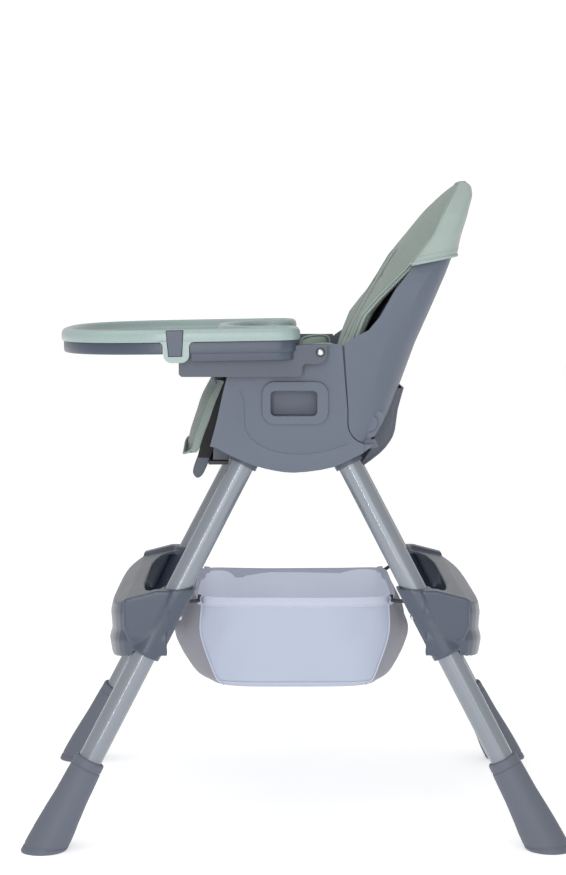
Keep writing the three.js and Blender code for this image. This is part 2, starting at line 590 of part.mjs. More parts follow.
for (const [end, name] of [[-1, 'front'], [1, 'rear']]) {
  const plan = bowPlan(end, BOW_HALF, BOW_DEPTH);
  const path = plan.map((point, k) => {
    const before = plan[Math.max(k - 1, 0)];
    const after = plan[Math.min(k + 1, BOW_STEPS)];
    const tangent = new THREE.Vector2(after.x - before.x, after.y - before.y).normalize();
    return { ...point, nx: end * tangent.y, ny: -end * tangent.x };
  });
  const wall = sweepPlan(end < 0 ? path.reverse() : path, bowSection);
  const outer = bowPlan(end, BOW_HALF - 2, BOW_DEPTH - 2).map(({ x, y }) => [x, y]);
  const inner = bowPlan(end, BOW_HALF - 48, BOW_DEPTH - 50).map(({ x, y }) => [x, y]);
  const slope = band(shelfLine, 0, WALL).map(([y, z]) => [end * y, z]);
  const shelf = prismZ([...outer, ...inner.reverse()], 320, 400).intersect(prismX(slope, -300, 300));
  let bracket = join(wall, shelf);
  for (const side of [1, -1]) {
    const sleeve = rod(legAxis(side, end, SLEEVE_LOW), legAxis(side, end, SLEEVE_HIGH + 30), SLEEVE_R, 28);
    const fin = finOutline.map(([y, z]) => [end * y, z]);
    const aboveSleeve = block(-400, 400, -400, 400, SLEEVE_HIGH, 500);
    bracket = join(bracket, sleeve.subtract(aboveSleeve), prismSide(side, fin, 216, 240.5));
  }
  for (const side of [1, -1]) {
    bracket = cut(
      bracket,
      rod(legAxis(side, end, 200), legAxis(side, end, 440), TUBE_R + GAP, 32),
      rod(besideLeg(side, end, SNAP_Z, 15), besideLeg(side, end, SNAP_Z, 40), 4.7, 12));
  }
  add(`leg_bracket_${name}`, bracket, slateDark);
}

// ---- basket ----
const basketRing = (halfX, halfY, z, bulge, power) => {
  const n = 28;
  return Array.from({ length: n }, (_, k) => {
    const angle = (2 * Math.PI * (k + 0.5)) / n;
    const c = Math.cos(angle);
    const s = Math.sin(angle);
    const y = (halfY + bulge * (1 - Math.abs(c) ** 1.2)) * Math.sign(s) * Math.abs(s) ** power;
    return [halfX * Math.sign(c) * Math.abs(c) ** power, y, z];
  });
};
const basketOuter = loft([
  basketRing(122, 118, 214, 12, 0.38), basketRing(132, 131, 230, 20, 0.38),
  basketRing(138, 143, 290, 26, 0.3), basketRing(140, 148, 352, 4, 0.18)]);
const basketInner = loft([
  basketRing(119, 115, 217, 12, 0.38), basketRing(129, 128, 231, 20, 0.38),
  basketRing(135, 140, 290, 26, 0.3), basketRing(137, 145, 353, 4, 0.18)]);
add('basket', cut(basketOuter, basketInner), basketCloth);
// Each hook reaches from a bracket sleeve to a corner of the basket's hem, and turns up inside its loop.
const HOOK = {
  corner: [136.5, 145], cornerZ: 346, sleeve: [190, 172.8], sleeveZ: 352, tipZ: 354, radius: 2.8,
};
for (const [side, end, name] of corners) {
  const corner = [side * HOOK.corner[0], end * HOOK.corner[1], HOOK.cornerZ];
  const sleeve = [side * HOOK.sleeve[0], end * HOOK.sleeve[1], HOOK.sleeveZ];
  add(`basket_hook_${name}`, join(
    rod(corner, sleeve, HOOK.radius, 12),
    rod(corner, [corner[0], corner[1], HOOK.tipZ], HOOK.radius, 12)), slateDark);
}

export default chair;
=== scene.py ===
"""A baby high chair: moulded seat, reclining padded back, two-part tray, tubular legs and a fabric basket."""
import math

import bmesh
import bpy
import numpy as np
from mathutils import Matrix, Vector


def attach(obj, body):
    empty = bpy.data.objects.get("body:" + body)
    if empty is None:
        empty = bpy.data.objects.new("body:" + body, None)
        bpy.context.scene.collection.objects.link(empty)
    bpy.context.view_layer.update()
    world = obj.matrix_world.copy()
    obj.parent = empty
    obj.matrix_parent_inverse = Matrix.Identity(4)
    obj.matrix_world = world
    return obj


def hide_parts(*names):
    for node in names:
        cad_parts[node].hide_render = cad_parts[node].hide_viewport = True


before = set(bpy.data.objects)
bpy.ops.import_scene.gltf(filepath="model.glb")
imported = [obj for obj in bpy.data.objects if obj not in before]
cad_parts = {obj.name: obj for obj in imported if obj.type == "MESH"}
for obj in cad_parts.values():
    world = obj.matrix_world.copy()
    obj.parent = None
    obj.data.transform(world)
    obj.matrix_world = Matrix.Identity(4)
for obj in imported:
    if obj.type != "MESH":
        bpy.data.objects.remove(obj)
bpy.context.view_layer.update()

MM = 0.001

# ---- Studio ----
# A white floor and a white room with one broad soft light overhead, one from the side,
# and a tall narrow one that draws the bright line down each round tube.
CAMERA_AT = Vector((3.0, -0.037, 0.85))
LOOKS_AT = Vector((0.0, -0.018, 0.580))
LENS = 79.0


def aimed(thing, place, target):
    """Puts a light or the camera at place, with its -Z axis towards target."""
    made = bpy.data.objects.new(thing.name, thing)
    bpy.context.scene.collection.objects.link(made)
    made.location = place
    made.rotation_euler = (Vector(target) - Vector(place)).to_track_quat("-Z", "Y").to_euler()
    return made


camera = bpy.data.cameras.new("camera")
camera.lens = LENS
camera.sensor_width = 36.0
bpy.context.scene.camera = aimed(camera, CAMERA_AT, LOOKS_AT)

for name, place, target, size, power in (
    ("overhead", (0.6, -0.9, 2.9), (0.0, 0.0, 0.6), (2.4, 2.4), 20.0),
    ("fill", (3.6, 0.5, 1.3), (0.0, 0.0, 0.55), (2.2, 1.8), 20.0),
    ("tube_line", (2.7, -0.55, 1.3), (0.0, 0.0, 0.4), (0.07, 2.2), 13.0),
):
    lamp = bpy.data.lights.new(name, "AREA")
    lamp.shape = "RECTANGLE"
    lamp.size, lamp.size_y = size
    lamp.energy = power
    aimed(lamp, place, target)

bpy.context.scene.view_settings.view_transform = "Standard"


class Wire:
    """One output of a material's nodes. Sums and products of wires add Math nodes."""

    def __init__(self, finish, socket):
        self.finish = finish
        self.socket = socket

    def _math(self, operation, first, second=0.0):
        return self.finish.node("Math", {"operation": operation}, {0: first, 1: second})

    def __add__(self, other):
        return self._math("ADD", self, other)

    def __sub__(self, other):
        return self._math("SUBTRACT", self, other)

    def __rsub__(self, other):
        return self._math("SUBTRACT", other, self)

    def __mul__(self, other):
        return self._math("MULTIPLY", self, other)

    def sine(self):
        return self._math("SINE", self)

    def clamped(self):
        return self.finish.node("Clamp", {}, {"Value": self})

    __radd__ = __add__
    __rmul__ = __mul__


class Finish:
    """A material being made: its nodes and its Principled shader."""

    def __init__(self, name):
        self.material = bpy.data.materials.new(name)
        self.material.use_nodes = True
        self.tree = self.material.node_tree
        self.shader = self.tree.nodes["Principled BSDF"]

    def node(self, kind, settings, values, out=0):
        """Adds a node of that kind, sets its settings, then fills or links its sockets."""
        made = self.tree.nodes.new("ShaderNode" + kind)
        for name, value in settings.items():
            setattr(made, name, value)
        for name, value in values.items():
            self.plug(made.inputs[name], value)
        return Wire(self, made.outputs[out])

    def plug(self, socket, value):
        if isinstance(value, Wire):
            self.tree.links.new(value.socket, socket)
        else:
            socket.default_value = value

    def set(self, **values):
        """Fills the shader's sockets: base_color=... is its Base Color."""
        for name, value in values.items():
            label = name.replace("_", " ").title()
            self.plug(self.shader.inputs[label], value)
        return self

    def here(self):
        return self.node("TexCoord", {}, {}, "Object")

    def axes(self, place):
        """The three coordinates of a place, in metres."""
        split = self.tree.nodes.new("ShaderNodeSeparateXYZ")
        self.plug(split.inputs[0], place)
        return [Wire(self, split.outputs[k]) for k in range(3)]

    def noise(self, place, scale, detail=2.0, rough=0.5):
        values = {"Vector": place, "Scale": scale, "Detail": detail, "Roughness": rough}
        return self.node("TexNoise", {}, values, 0)

    def mix(self, share, first, second):
        """A colour between first and second."""
        return self.node("Mix", {"data_type": "RGBA"}, {0: share, 6: first, 7: second}, 2)

    def bump(self, height, depth, strength=1.0):
        """A normal tilted by a height pattern that is depth metres deep."""
        return self.node("Bump", {}, {"Strength": strength, "Distance": depth, "Height": height})


def srgb(red, green, blue):
    """A screen colour from 0 to 255 as the linear colour that the shader takes."""
    part = np.array([red, green, blue]) / 255.0
    linear = np.where(part <= 0.04045, part / 12.92, ((part + 0.055) / 1.055) ** 2.4)
    return (*[float(value) for value in linear], 1.0)


def tinted(colour, factor):
    """The same linear colour, darker or lighter."""
    return (*[min(1.0, part * factor) for part in colour[:3]], 1.0)


def new_mesh(name, vertices, faces, closed=True, merge=1e-6):
    """A mesh from arrays, with its doubles merged, its seams shut and its faces turned outwards."""
    mesh = bpy.data.meshes.new(name)
    mesh.from_pydata(np.asarray(vertices, dtype=float).tolist(), [], [list(map(int, face)) for face in faces])
    shape = bmesh.new()
    shape.from_mesh(mesh)
    bmesh.ops.remove_doubles(shape, verts=shape.verts, dist=merge)
    bmesh.ops.dissolve_degenerate(shape, edges=shape.edges, dist=merge)
    if closed:
        bmesh.ops.recalc_face_normals(shape, faces=shape.faces)
    shape.to_mesh(mesh)
    shape.free()
    return mesh


def placed(name, mesh, finish, body, slot, *nodes, sharp=35.0):
    """Puts a mesh in the scene as a smooth-shaded piece on its body, in place of its CAD nodes."""
    piece = bpy.data.objects.new(name, mesh)
    bpy.context.scene.collection.objects.link(piece)
    mesh.materials.clear()
    for each in finish if isinstance(finish, (list, tuple)) else [finish]:
        mesh.materials.append(each.material)
    mesh.shade_smooth()
    mesh.set_sharp_from_angle(angle=math.radians(sharp))
    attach(piece, body)
    if nodes:
        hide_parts(*nodes)
    return piece


white_floor = Finish("white floor")
floor_cloud = white_floor.noise(white_floor.here(), 3.0)
white_floor.set(
    base_color=white_floor.mix(floor_cloud, (0.93, 0.93, 0.93, 1), (0.96, 0.96, 0.96, 1)),
    roughness=0.9)
white_floor.shader.inputs["Specular IOR Level"].default_value = 0.1
white_floor.shader.inputs["Emission Color"].default_value = (1, 1, 1, 1)
white_floor.shader.inputs["Emission Strength"].default_value = 0.42
FLOOR_HALF, FLOOR_DROP = 14.0, 0.0005
floor_corners = np.array([[-1, -1, 0], [1, -1, 0], [1, 1, 0], [-1, 1, 0]]) * FLOOR_HALF
floor_corners[:, 2] = -FLOOR_DROP
floor_mesh = new_mesh("floor", floor_corners, [[0, 1, 2, 3]], closed=False)
floor = bpy.data.objects.new("floor", floor_mesh)
bpy.context.scene.collection.objects.link(floor)
floor_mesh.materials.append(white_floor.material)

room = bpy.data.worlds.new("white room")
bpy.context.scene.world = room
room.use_nodes = True
room_nodes = room.node_tree.nodes
room_nodes["Background"].inputs["Color"].default_value = (1, 1, 1, 1)
seen_or_lit = room_nodes.new("ShaderNodeLightPath")
room_level = room_nodes.new("ShaderNodeMapRange")
ROOM_LIGHT, ROOM_SEEN = 0.62, 1.05
room_level.inputs["To Min"].default_value = ROOM_LIGHT
room_level.inputs["To Max"].default_value = ROOM_SEEN
room.node_tree.links.new(seen_or_lit.outputs["Is Camera Ray"], room_level.inputs["Value"])
room.node_tree.links.new(room_level.outputs[0], room_nodes["Background"].inputs["Strength"])


# ---- Seat moulding ----
# The seat is one family of injection-moulded polypropylene parts in slate grey: two side panels with a
# recessed carry handle, the pan, the socket frame under it and the hinge plates. A lip behind each
# panel's rear edge closes the seam beside the backrest wing.
def moulded_plastic(name, colour, roughness, grain=1.0, coat=0.0):
    """Fine spark-eroded grain, a faint clouding of the pigment, and edges rubbed a little paler."""
    made = Finish(name)
    place = made.here()
    cloud = made.noise(place, 9.0, 3.0)
    scuff = made.noise(place, 70.0, 4.0, 0.6)
    edge = made.node("NewGeometry", {}, {}, "Pointiness")
    rubbed = ((edge - 0.53) * 6.0).clamped() * 0.35
    base = made.mix(cloud, tinted(colour, 0.94), tinted(colour, 1.06))
    grained = made.noise(place, 1500.0, 1.0)
    made.set(
        base_color=made.mix(rubbed, base, tinted(colour, 1.5)),
        roughness=(cloud - 0.5) * 0.10 + (scuff - 0.5) * 0.08 + roughness,
        normal=made.bump(grained, 0.00006 * grain),
        coat_weight=coat)
    made.shader.inputs["Coat Roughness"].default_value = 0.25
    return made


slate = moulded_plastic("slate polypropylene", srgb(91, 99, 114), 0.46)
dark_slate = moulded_plastic("dark slate polypropylene", srgb(82, 88, 100), 0.46)
deep_slate = moulded_plastic("glossy slate polypropylene", srgb(66, 75, 91), 0.34, coat=0.25)
black_plastic = moulded_plastic("black plastic", srgb(38, 40, 43), 0.42)
SIDES = ((1, "left"), (-1, "right"))


def moulded(node, finish, body, slot, edge=0.8, cutter=None):
    """A node's own shape with its flat faces rejoined and every sharp edge rounded by edge mm."""
    name = node + "_moulding"
    shape = bmesh.new()
    shape.from_mesh(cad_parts[node].data)
    bmesh.ops.remove_doubles(shape, verts=shape.verts, dist=2e-5)
    bmesh.ops.dissolve_degenerate(shape, edges=shape.edges, dist=2e-5)
    bmesh.ops.dissolve_limit(shape, angle_limit=math.radians(0.8), verts=shape.verts, edges=shape.edges)
    mesh = bpy.data.meshes.new(name)
    shape.to_mesh(mesh)
    shape.free()
    piece = placed(name, mesh, finish, body, slot, node)
    if cutter is not None:
        groove = piece.modifiers.new("groove", "BOOLEAN")
        groove.operation = "DIFFERENCE"
        groove.solver = "EXACT"
        groove.object = cutter
    rounded = piece.modifiers.new("rounded edges", "BEVEL")
    rounded.width = edge * MM
    rounded.segments = 3
    rounded.limit_method = "ANGLE"
    rounded.angle_limit = math.radians(34)
    rounded.harden_normals = True
    rounded.use_clamp_overlap = True
    return piece


def smooth_line(points, count):
    """A line through points, evenly spaced in parameter: on each stretch the Catmull-Rom cubic,
    p1 + t(p2-p0)/2 + t2(2p0-5p1+4p2-p3)/2 + t3(3p1-p0-3p2+p3)/2, with the ends repeated."""
    points = np.asarray(points, dtype=float)
    padded = np.vstack([2 * points[0] - points[1], points, 2 * points[-1] - points[-2]])
    place = np.linspace(0, len(points) - 1, count)
    part = np.minimum(place.astype(int), len(points) - 2)
    t = (place - part)[:, None]
    p0, p1, p2, p3 = (padded[part + k] for k in range(4))
    return (p1 + t * (p2 - p0) / 2 + t**2 * (2 * p0 - 5 * p1 + 4 * p2 - p3) / 2
            + t**3 * (3 * p1 - p0 - 3 * p2 + p3) / 2)


def grid_faces(rows, columns, close_rows=False, close_columns=False):
    """The quads of a grid of points; a closed way joins its last line to its first."""
    r = np.arange(rows if close_rows else rows - 1)[:, None]
    c = np.arange(columns if close_columns else columns - 1)[None, :]
    r1 = (r + 1) % rows
    c1 = (c + 1) % columns
    corners = [r * columns + c, r * columns + c1, r1 * columns + c1, r1 * columns + c]
    return np.stack([np.broadcast_to(k, np.broadcast(r, c).shape) for k in corners], axis=-1).reshape(-1, 4)


def surface(points, close_rows=False, close_columns=False, caps=()):
    """Vertices and faces of a (rows, columns, 3) grid in mm; caps lists the rows shut by one flat face."""
    rows, columns = points.shape[:2]
    faces = grid_faces(rows, columns, close_rows, close_columns).tolist()
    faces += [list(range(row * columns, (row + 1) * columns)) for row in caps]
    return points.reshape(-1, 3) * MM, faces


def lofted(name, rings, finish, body, slot, *nodes, ends="flat", sharp=35.0):
    """A piece whose skin is a run of closed rings in mm. Its two end rings are shut flat, are joined to
    each other, or stay open where they already meet in a point."""
    caps = (0, len(rings) - 1) if ends == "flat" else ()
    skin = surface(rings, close_rows=ends == "joined", close_columns=True, caps=caps)
    return placed(name, new_mesh(name, *skin), finish, body, slot, *nodes, sharp=sharp)


def prism(outline, x0, x1):
    """A side-view outline of (y, z) points carried straight across from x0 to x1."""
    outline = np.asarray(outline, dtype=float)
    return np.stack([np.column_stack([np.full(len(outline), x), outline]) for x in (x0, x1)])


PIVOT = (106.0, 620.0)


def hinge_arc(radius, start, stop, count):
    """Points (y, z) on a circle round the recline pivot, from one angle in degrees to another."""
    angle = np.radians(np.linspace(start, stop, count))
    return np.column_stack([PIVOT[0] + radius * np.cos(angle), PIVOT[1] + radius * np.sin(angle)])


def tube_along(line, radius, around=10):
    """A round bar along a line of points in mm: circles square to the line, in axes found from a
    fixed side direction."""
    line = np.asarray(line, dtype=float)
    along = np.gradient(line, axis=0)
    along /= np.linalg.norm(along, axis=1)[:, None]
    reference = np.array([0.0, 0.0, 1.0]) if abs(along[0][2]) < 0.9 else np.array([1.0, 0.0, 0.0])
    first = np.cross(along, reference)
    first /= np.linalg.norm(first, axis=1)[:, None]
    second = np.cross(along, first)
    angle = np.linspace(0, 2 * np.pi, around, endpoint=False)
    ring = (np.cos(angle)[None, :, None] * first[:, None, :]
            + np.sin(angle)[None, :, None] * second[:, None, :])
    return line[:, None, :] + radius * ring


PANEL_X = 212.0
panel_step = smooth_line([(-82, 668), (-76, 651), (-75, 620), (-70, 604), (-56, 590), (-30, 579), (4, 575),
                          (43, 579), (76, 590)], 60)
seam_lip = np.vstack([
    [(59, 733), (63, 690), (66, 645)], hinge_arc(38, 180, 292, 16),
    hinge_arc(25, 292, 180, 16), [(83, 645), (80, 690), (77, 733)]])
for side, name in SIDES:
    line = np.column_stack([np.full(len(panel_step), side * (PANEL_X + 0.35)), panel_step])
    groove_skin = surface(tube_along(line, 0.9, 8), close_columns=True, caps=(0, len(line) - 1))
    groove_mesh = new_mesh("groove", *groove_skin)
    groove = bpy.data.objects.new(f"groove_{name}", groove_mesh)
    bpy.context.scene.collection.objects.link(groove)
    panel = moulded(f"side_panel_{name}", slate, "chair", "slate_plastic", 1.2, groove)
    bpy.context.view_layer.update()
    cut_panel = bpy.data.meshes.new_from_object(panel.evaluated_get(bpy.context.evaluated_depsgraph_get()))
    panel.modifiers.clear()
    panel.data = cut_panel
    bpy.data.objects.remove(groove)
    moulded(f"carry_handle_{name}", slate, "chair", "slate_plastic", 1.4)
    moulded(f"recline_bracket_{name}", dark_slate, "chair", "dark_plastic", 0.5)
    lofted(f"side_panel_{name}_lip", prism(seam_lip, side * (PANEL_X - 8.8), side * (PANEL_X - 6.4)),
           dark_slate, "chair", "dark_plastic")
moulded("seat_pan", slate, "chair", "slate_plastic", 1.0)
moulded("seat_base", dark_slate, "chair", "dark_plastic", 0.9)


# ---- Front crossbar, calf plate and recline bolts ----
# A flat black-sleeved bar ties the front leg sockets, with a slate rib above it and the slate calf plate
# in front; steel bolts carry the backrest wings.
def turned(start, end, outline, around=40):
    """A turned shape: each outline pair (distance, radius) is a circle round the line from start to end."""
    start = np.asarray(start, dtype=float)
    along = np.asarray(end, dtype=float) - start
    along /= np.linalg.norm(along)
    side = np.cross(along, (0.0, 0.0, 1.0) if abs(along[2]) < 0.9 else (1.0, 0.0, 0.0))
    side /= np.linalg.norm(side)
    other = np.cross(along, side)
    angle = np.linspace(0, 2 * np.pi, around, endpoint=False)
    ring = np.cos(angle)[:, None] * side + np.sin(angle)[:, None] * other
    outline = np.asarray(outline, dtype=float)
    return start + outline[:, 0, None, None] * along + outline[:, 1, None, None] * ring


def round_edges(piece, edge, angle=34):
    """Rounds a piece's sharp edges by edge mm."""
    rounded = piece.modifiers.new("rounded edges", "BEVEL")
    rounded.width = edge * MM
    rounded.segments = 2
    rounded.limit_method = "ANGLE"
    rounded.angle_limit = math.radians(angle)
    rounded.harden_normals = True


def across_seat(name, outline, half, finish, edge, slot, *nodes):
    """A moulding of one side view that reaches half mm to each side of the middle."""
    piece = lofted(name, prism(outline, -half, half), finish, "chair", slot, *nodes)
    round_edges(piece, edge)


bar_side = [(-130, 555), (-129, 554), (-101, 554), (-100, 555), (-100, 558.6), (-101, 559.6),
            (-129, 559.6), (-130, 558.6)]
rib_side = [(-122, 582), (-117, 583), (-99, 572), (-101, 560.2), (-123.5, 560.2)]
plate_side = smooth_line([
    (-104, 620), (-117, 588), (-127, 563), (-132.7, 549.8), (-139.5, 535.5), (-147, 529.8), (-153, 534),
    (-154.4, 542), (-149.5, 558), (-142, 574), (-133, 596), (-123, 617), (-110, 630)], 56)
across_seat("front_crossbar_sleeve", bar_side, 160.5, black_plastic, 0.6, "black_plastic", "front_crossbar")
across_seat("front_rib", rib_side, 156, dark_slate, 1.0, "dark_plastic")
across_seat("calf_plate_moulding", plate_side, 122, dark_slate, 2.0, "slate_plastic", "calf_plate")


def brushed_steel(name):
    """Zinc-plated steel with fine turning marks round it and a slight blue-yellow passivation."""
    made = Finish(name)
    place = made.here()
    marks = made.noise(place, 900.0, 2.0)
    cloud = made.noise(place, 60.0, 2.0)
    made.set(
        base_color=made.mix(cloud, srgb(196, 199, 204), srgb(218, 218, 214)),
        metallic=1.0, roughness=(marks - 0.5) * 0.2 + 0.28, normal=made.bump(marks, 0.00003))
    return made


steel = brushed_steel("plated steel")
bolt = [(0, 0), (0, 7.6), (0.9, 8.8), (3.6, 9), (4.6, 8.4), (4.6, 6), (14.4, 6), (15, 5.4), (15, 0)]
for side, name in SIDES:
    lofted(f"pivot_bolt_{name}_turned", turned((side * 192, *PIVOT), (side * 207, *PIVOT), bolt),
           steel, "chair", "steel", f"pivot_bolt_{name}", ends="open")

# ---- Backrest moulding ----
# The shell with its two wings, the guard plate with its two cheeks, the flat board behind the pad and the
# recline lever in its window, all slate polypropylene. A thin ring fills each wing round its hinge, and a
# small web closes the lower rear corner of each side panel.
moulded("backrest_shell", slate, "backrest", "slate_plastic", 1.0)
moulded("backrest_tail", dark_slate, "backrest", "dark_plastic", 0.9)
cheek = np.vstack([
    smooth_line([(158, 667), (149.5, 635), (145.5, 605), (138.5, 589), (124, 571.5), (100, 552.8)], 20),
    [(99, 556), (112, 575), (120, 600), (128, 640), (142, 667)]])
hinge_ring = np.vstack([
    [(98.8, 600.3), (102.4, 599.3), (106, 599), (109.6, 599.3), (114, 599.5), (119, 607.5), (123, 614.5),
     (127, 622), (129.4, 628.5), (127, 634), (120, 637.5), (112.8, 638.8)],
    hinge_arc(13.4, 70, -110, 25)])
corner_web = [(97.5, 588.8), (106, 588.2), (113, 589.3), (110, 585), (99.5, 577.4), (97.5, 576.6)]
for side, name in SIDES:
    lofted(f"backrest_tail_cheek_{name}", prism(cheek, side * 144.0, side * 149.6),
           dark_slate, "backrest", "dark_plastic")
for side, name in SIDES:
    lofted(f"backrest_wing_face_{name}", prism(hinge_ring, side * 202.8, side * 205.2),
           slate, "backrest", "slate_plastic")
    lofted(f"side_panel_corner_{name}", prism(corner_web, side * 206.0, side * 208.6),
           slate, "chair", "slate_plastic")
moulded("backrest_board", dark_slate, "backrest", "dark_plastic", 0.8)
moulded("recline_paddle", dark_slate, "recline_lever", "dark_plastic", 1.2)

# ---- Arms and rivets ----
# Two moulded bars outside the seat panels carry the tray; each turns on a domed steel rivet with a black
# washer under its head.
RIVET = (34.6, 724.0)
rivet = [(0, 0), (0, 3), (27.8, 3), (28, 4.4), (28.6, 4.6), (29.4, 4.2), (30.1, 3), (30.5, 1.5), (30.6, 0)]
washer = [(0, 4.9), (0, 6.4), (0.3, 6.8), (1.1, 6.8), (1.3, 6.5), (1.3, 4.9)]
for side, name in SIDES:
    moulded(f"armrest_{name}", deep_slate, "arms", "slate_plastic", 1.4)
    lofted(f"arm_rivet_{name}_turned", turned((side * 203, *RIVET), (side * 240, *RIVET), rivet),
           steel, "chair", "steel", f"arm_rivet_{name}", ends="open")
    lofted(f"arm_rivet_{name}_washer", turned((side * 230.6, *RIVET), (side * 233, *RIVET), washer),
           black_plastic, "chair", "black_plastic", ends="joined")

# ---- Tray ----
# A slate base that slides on the arms, and a glossy mint food tray clipped over it. The whole tray
# slopes one degree down to the front. Both follow one plan: a full front curve, two rounded arms
# and an oval cut-out for the child.
TRAY_TILT = math.radians(1.0)
TRAY_ORIGIN = np.array([0.0, -160.0, 740.0])
TRAY_HALF, CUT_HALF = 258.0, 142.0
CUT_DEPTH, ARM_START, ARM_END = 70.0, -34.0, 6.0
SIDE_START, TRAY_FRONT = -150.0, -357.0


def tilted(points):
    """Points turned about the tray's own cross axis by its slope."""
    local = np.asarray(points, dtype=float) - TRAY_ORIGIN
    c, s = math.cos(TRAY_TILT), math.sin(TRAY_TILT)
    turned_y = c * local[..., 1] - s * local[..., 2]
    turned_z = s * local[..., 1] + c * local[..., 2]
    return np.stack([local[..., 0], turned_y, turned_z], axis=-1) + TRAY_ORIGIN


def squared_arc(centre, half, start, depth, power, angle_from, angle_to, steps):
    """Part of the closed curve |x/half|^power + |y/depth|^power = 1, by even angle."""
    angle = np.radians(np.linspace(angle_from, angle_to, steps + 1))
    c, s = np.cos(angle), np.sin(angle)
    return np.column_stack([
        centre + half * np.sign(c) * np.abs(c) ** (2 / power),
        start + depth * np.sign(s) * np.abs(s) ** (2 / power)])


def tray_plan(inset):
    """The tray's outline, moved inwards by inset."""
    arm_half, arm_centre = (TRAY_HALF - CUT_HALF) / 2, (TRAY_HALF + CUT_HALF) / 2
    arm_depth = ARM_END - ARM_START - inset
    return np.vstack([
        squared_arc(arm_centre, arm_half - inset, ARM_START, arm_depth, 2.6, 0, 180, 28),
        squared_arc(0, CUT_HALF + inset, ARM_START, CUT_DEPTH + inset, 2.2, 0, -180, 56),
        squared_arc(-arm_centre, arm_half - inset, ARM_START, arm_depth, 2.6, 0, 180, 28),
        squared_arc(0, TRAY_HALF - inset, SIDE_START, SIDE_START - TRAY_FRONT - inset, 2.9, 180, 360, 84)])


def stacked(rows):
    """The tray's plan at each (inset, height) of a list: the skin that a mould would leave."""
    return np.stack([np.column_stack([tray_plan(inset), np.full(len(tray_plan(inset)), height)])
                     for inset, height in rows])


def carve(piece, operation, points):
    """Joins a closed shape to a piece, or cuts it away, and keeps the result as the piece's mesh."""
    tool_skin = surface(points, close_columns=True, caps=(0, len(points) - 1))
    tool = bpy.data.objects.new("tool", new_mesh("tool", *tool_skin))
    bpy.context.scene.collection.objects.link(tool)
    step = piece.modifiers.new("step", "BOOLEAN")
    step.operation = operation
    step.solver = "EXACT"
    step.object = tool
    bpy.context.view_layer.update()
    result = bpy.data.meshes.new_from_object(piece.evaluated_get(bpy.context.evaluated_depsgraph_get()))
    piece.modifiers.clear()
    result.materials.clear()
    for each in piece.data.materials:
        result.materials.append(each)
    piece.data = result
    bpy.data.objects.remove(tool)


def box_outline(y0, y1, z0, z1):
    """The side view of a block."""
    return [(y0, z0), (y1, z0), (y1, z1), (y0, z1)]


mint = moulded_plastic("mint polypropylene", srgb(149, 168, 165), 0.27, grain=0.25, coat=0.35)
top_skin = [
    (24, 740.2), (1.4, 739.6), (0.3, 740.0), (0, 741.2), (0, 748.0), (0.35, 751.6), (1.5, 754.6),
    (3.4, 756.7), (6.0, 757.8), (8.4, 758.0), (10.8, 757.8), (12.6, 757.0), (13.9, 755.3), (14.7, 752.8),
    (15.8, 748.2), (17.2, 745.6), (19.6, 744.1), (23, 743.6)]
food_tray = lofted("food_tray", tilted(stacked(top_skin)), mint, "food_tray", "mint_plastic", "tray_top",
                   sharp=30)
CLIP_Y0, CLIP_Y1, CLIP_LOW, CLIP_ROUND = -191.0, -154.0, 710.0, 12.0
turn = np.radians(np.linspace(180, 360, 15))
turn_y = np.where(np.arange(15) < 8, CLIP_Y0 + CLIP_ROUND, CLIP_Y1 - CLIP_ROUND)
turn_z = CLIP_LOW + CLIP_ROUND
clip_tab = np.vstack([
    [(CLIP_Y0 - 7, 740.5), (CLIP_Y0 - 3.4, 739.2), (CLIP_Y0 - 1, 736.4), (CLIP_Y0, 732.5)],
    np.column_stack([turn_y + CLIP_ROUND * np.cos(turn), turn_z + CLIP_ROUND * np.sin(turn)]),
    [(CLIP_Y1, 732.5), (CLIP_Y1 + 1, 736.4), (CLIP_Y1 + 3.4, 739.2), (CLIP_Y1 + 7, 740.5)]])
clip_slot = [(-187, 757), (-184, 719), (-164, 719), (-161.4, 757)]
for side in (1, -1):
    carve(food_tray, "UNION", tilted(prism(clip_tab, side * 244.5, side * 257.9)))
    carve(food_tray, "DIFFERENCE", tilted(prism(clip_slot, side * 248, side * 270)))
round_edges(food_tray, 0.9, 40)
food_tray.data.shade_smooth()
food_tray.data.set_sharp_from_angle(angle=math.radians(32))

base_skin = [(10, 736.6), (10, 724), (9.4, 723), (8.2, 722.5), (5.4, 722.5), (4.0, 722.9), (3.2, 724.0),
             (3, 725.2), (3, 738.4), (3.3, 739.0), (4, 739.2)]
rail_skin = [(10, 723), (10, 712), (9.2, 711.2), (8, 711), (7.4, 711.2), (6.3, 712.2), (6, 713.4), (6, 723)]
tray_base = lofted("tray_base_skin", tilted(stacked(base_skin)), deep_slate, "tray", "slate_plastic",
                   "tray_base", sharp=30)
skirt = lofted("tray_base_rail", tilted(stacked(rail_skin)), deep_slate, "tray", "slate_plastic",
               ends="joined", sharp=30)
carve(skirt, "DIFFERENCE", prism(box_outline(-400, -151, 650, 800), -300, 300))
clip_room = box_outline(-192, -153, 700, 750)
under_side = box_outline(-130, 20, 690, 731.6)
arm_room = box_outline(-30, 30, 690, 736.8)
for piece in (tray_base, skirt):
    for room_side, x0, x1 in ((clip_room, 243, 275), (clip_room, -275, -243), (under_side, -190, 190),
                              (arm_room, 203, 234), (arm_room, -234, -203)):
        carve(piece, "DIFFERENCE", tilted(prism(room_side, x0, x1)))
    round_edges(piece, 0.6, 50)
for name in ("left", "right"):
    moulded(f"tray_clip_lever_{name}", deep_slate, f"clip_{name}", "slate_plastic", 1.0)
moulded("tray_slide_lever", mint, "tray_slide_grip", "mint_plastic", 1.6)

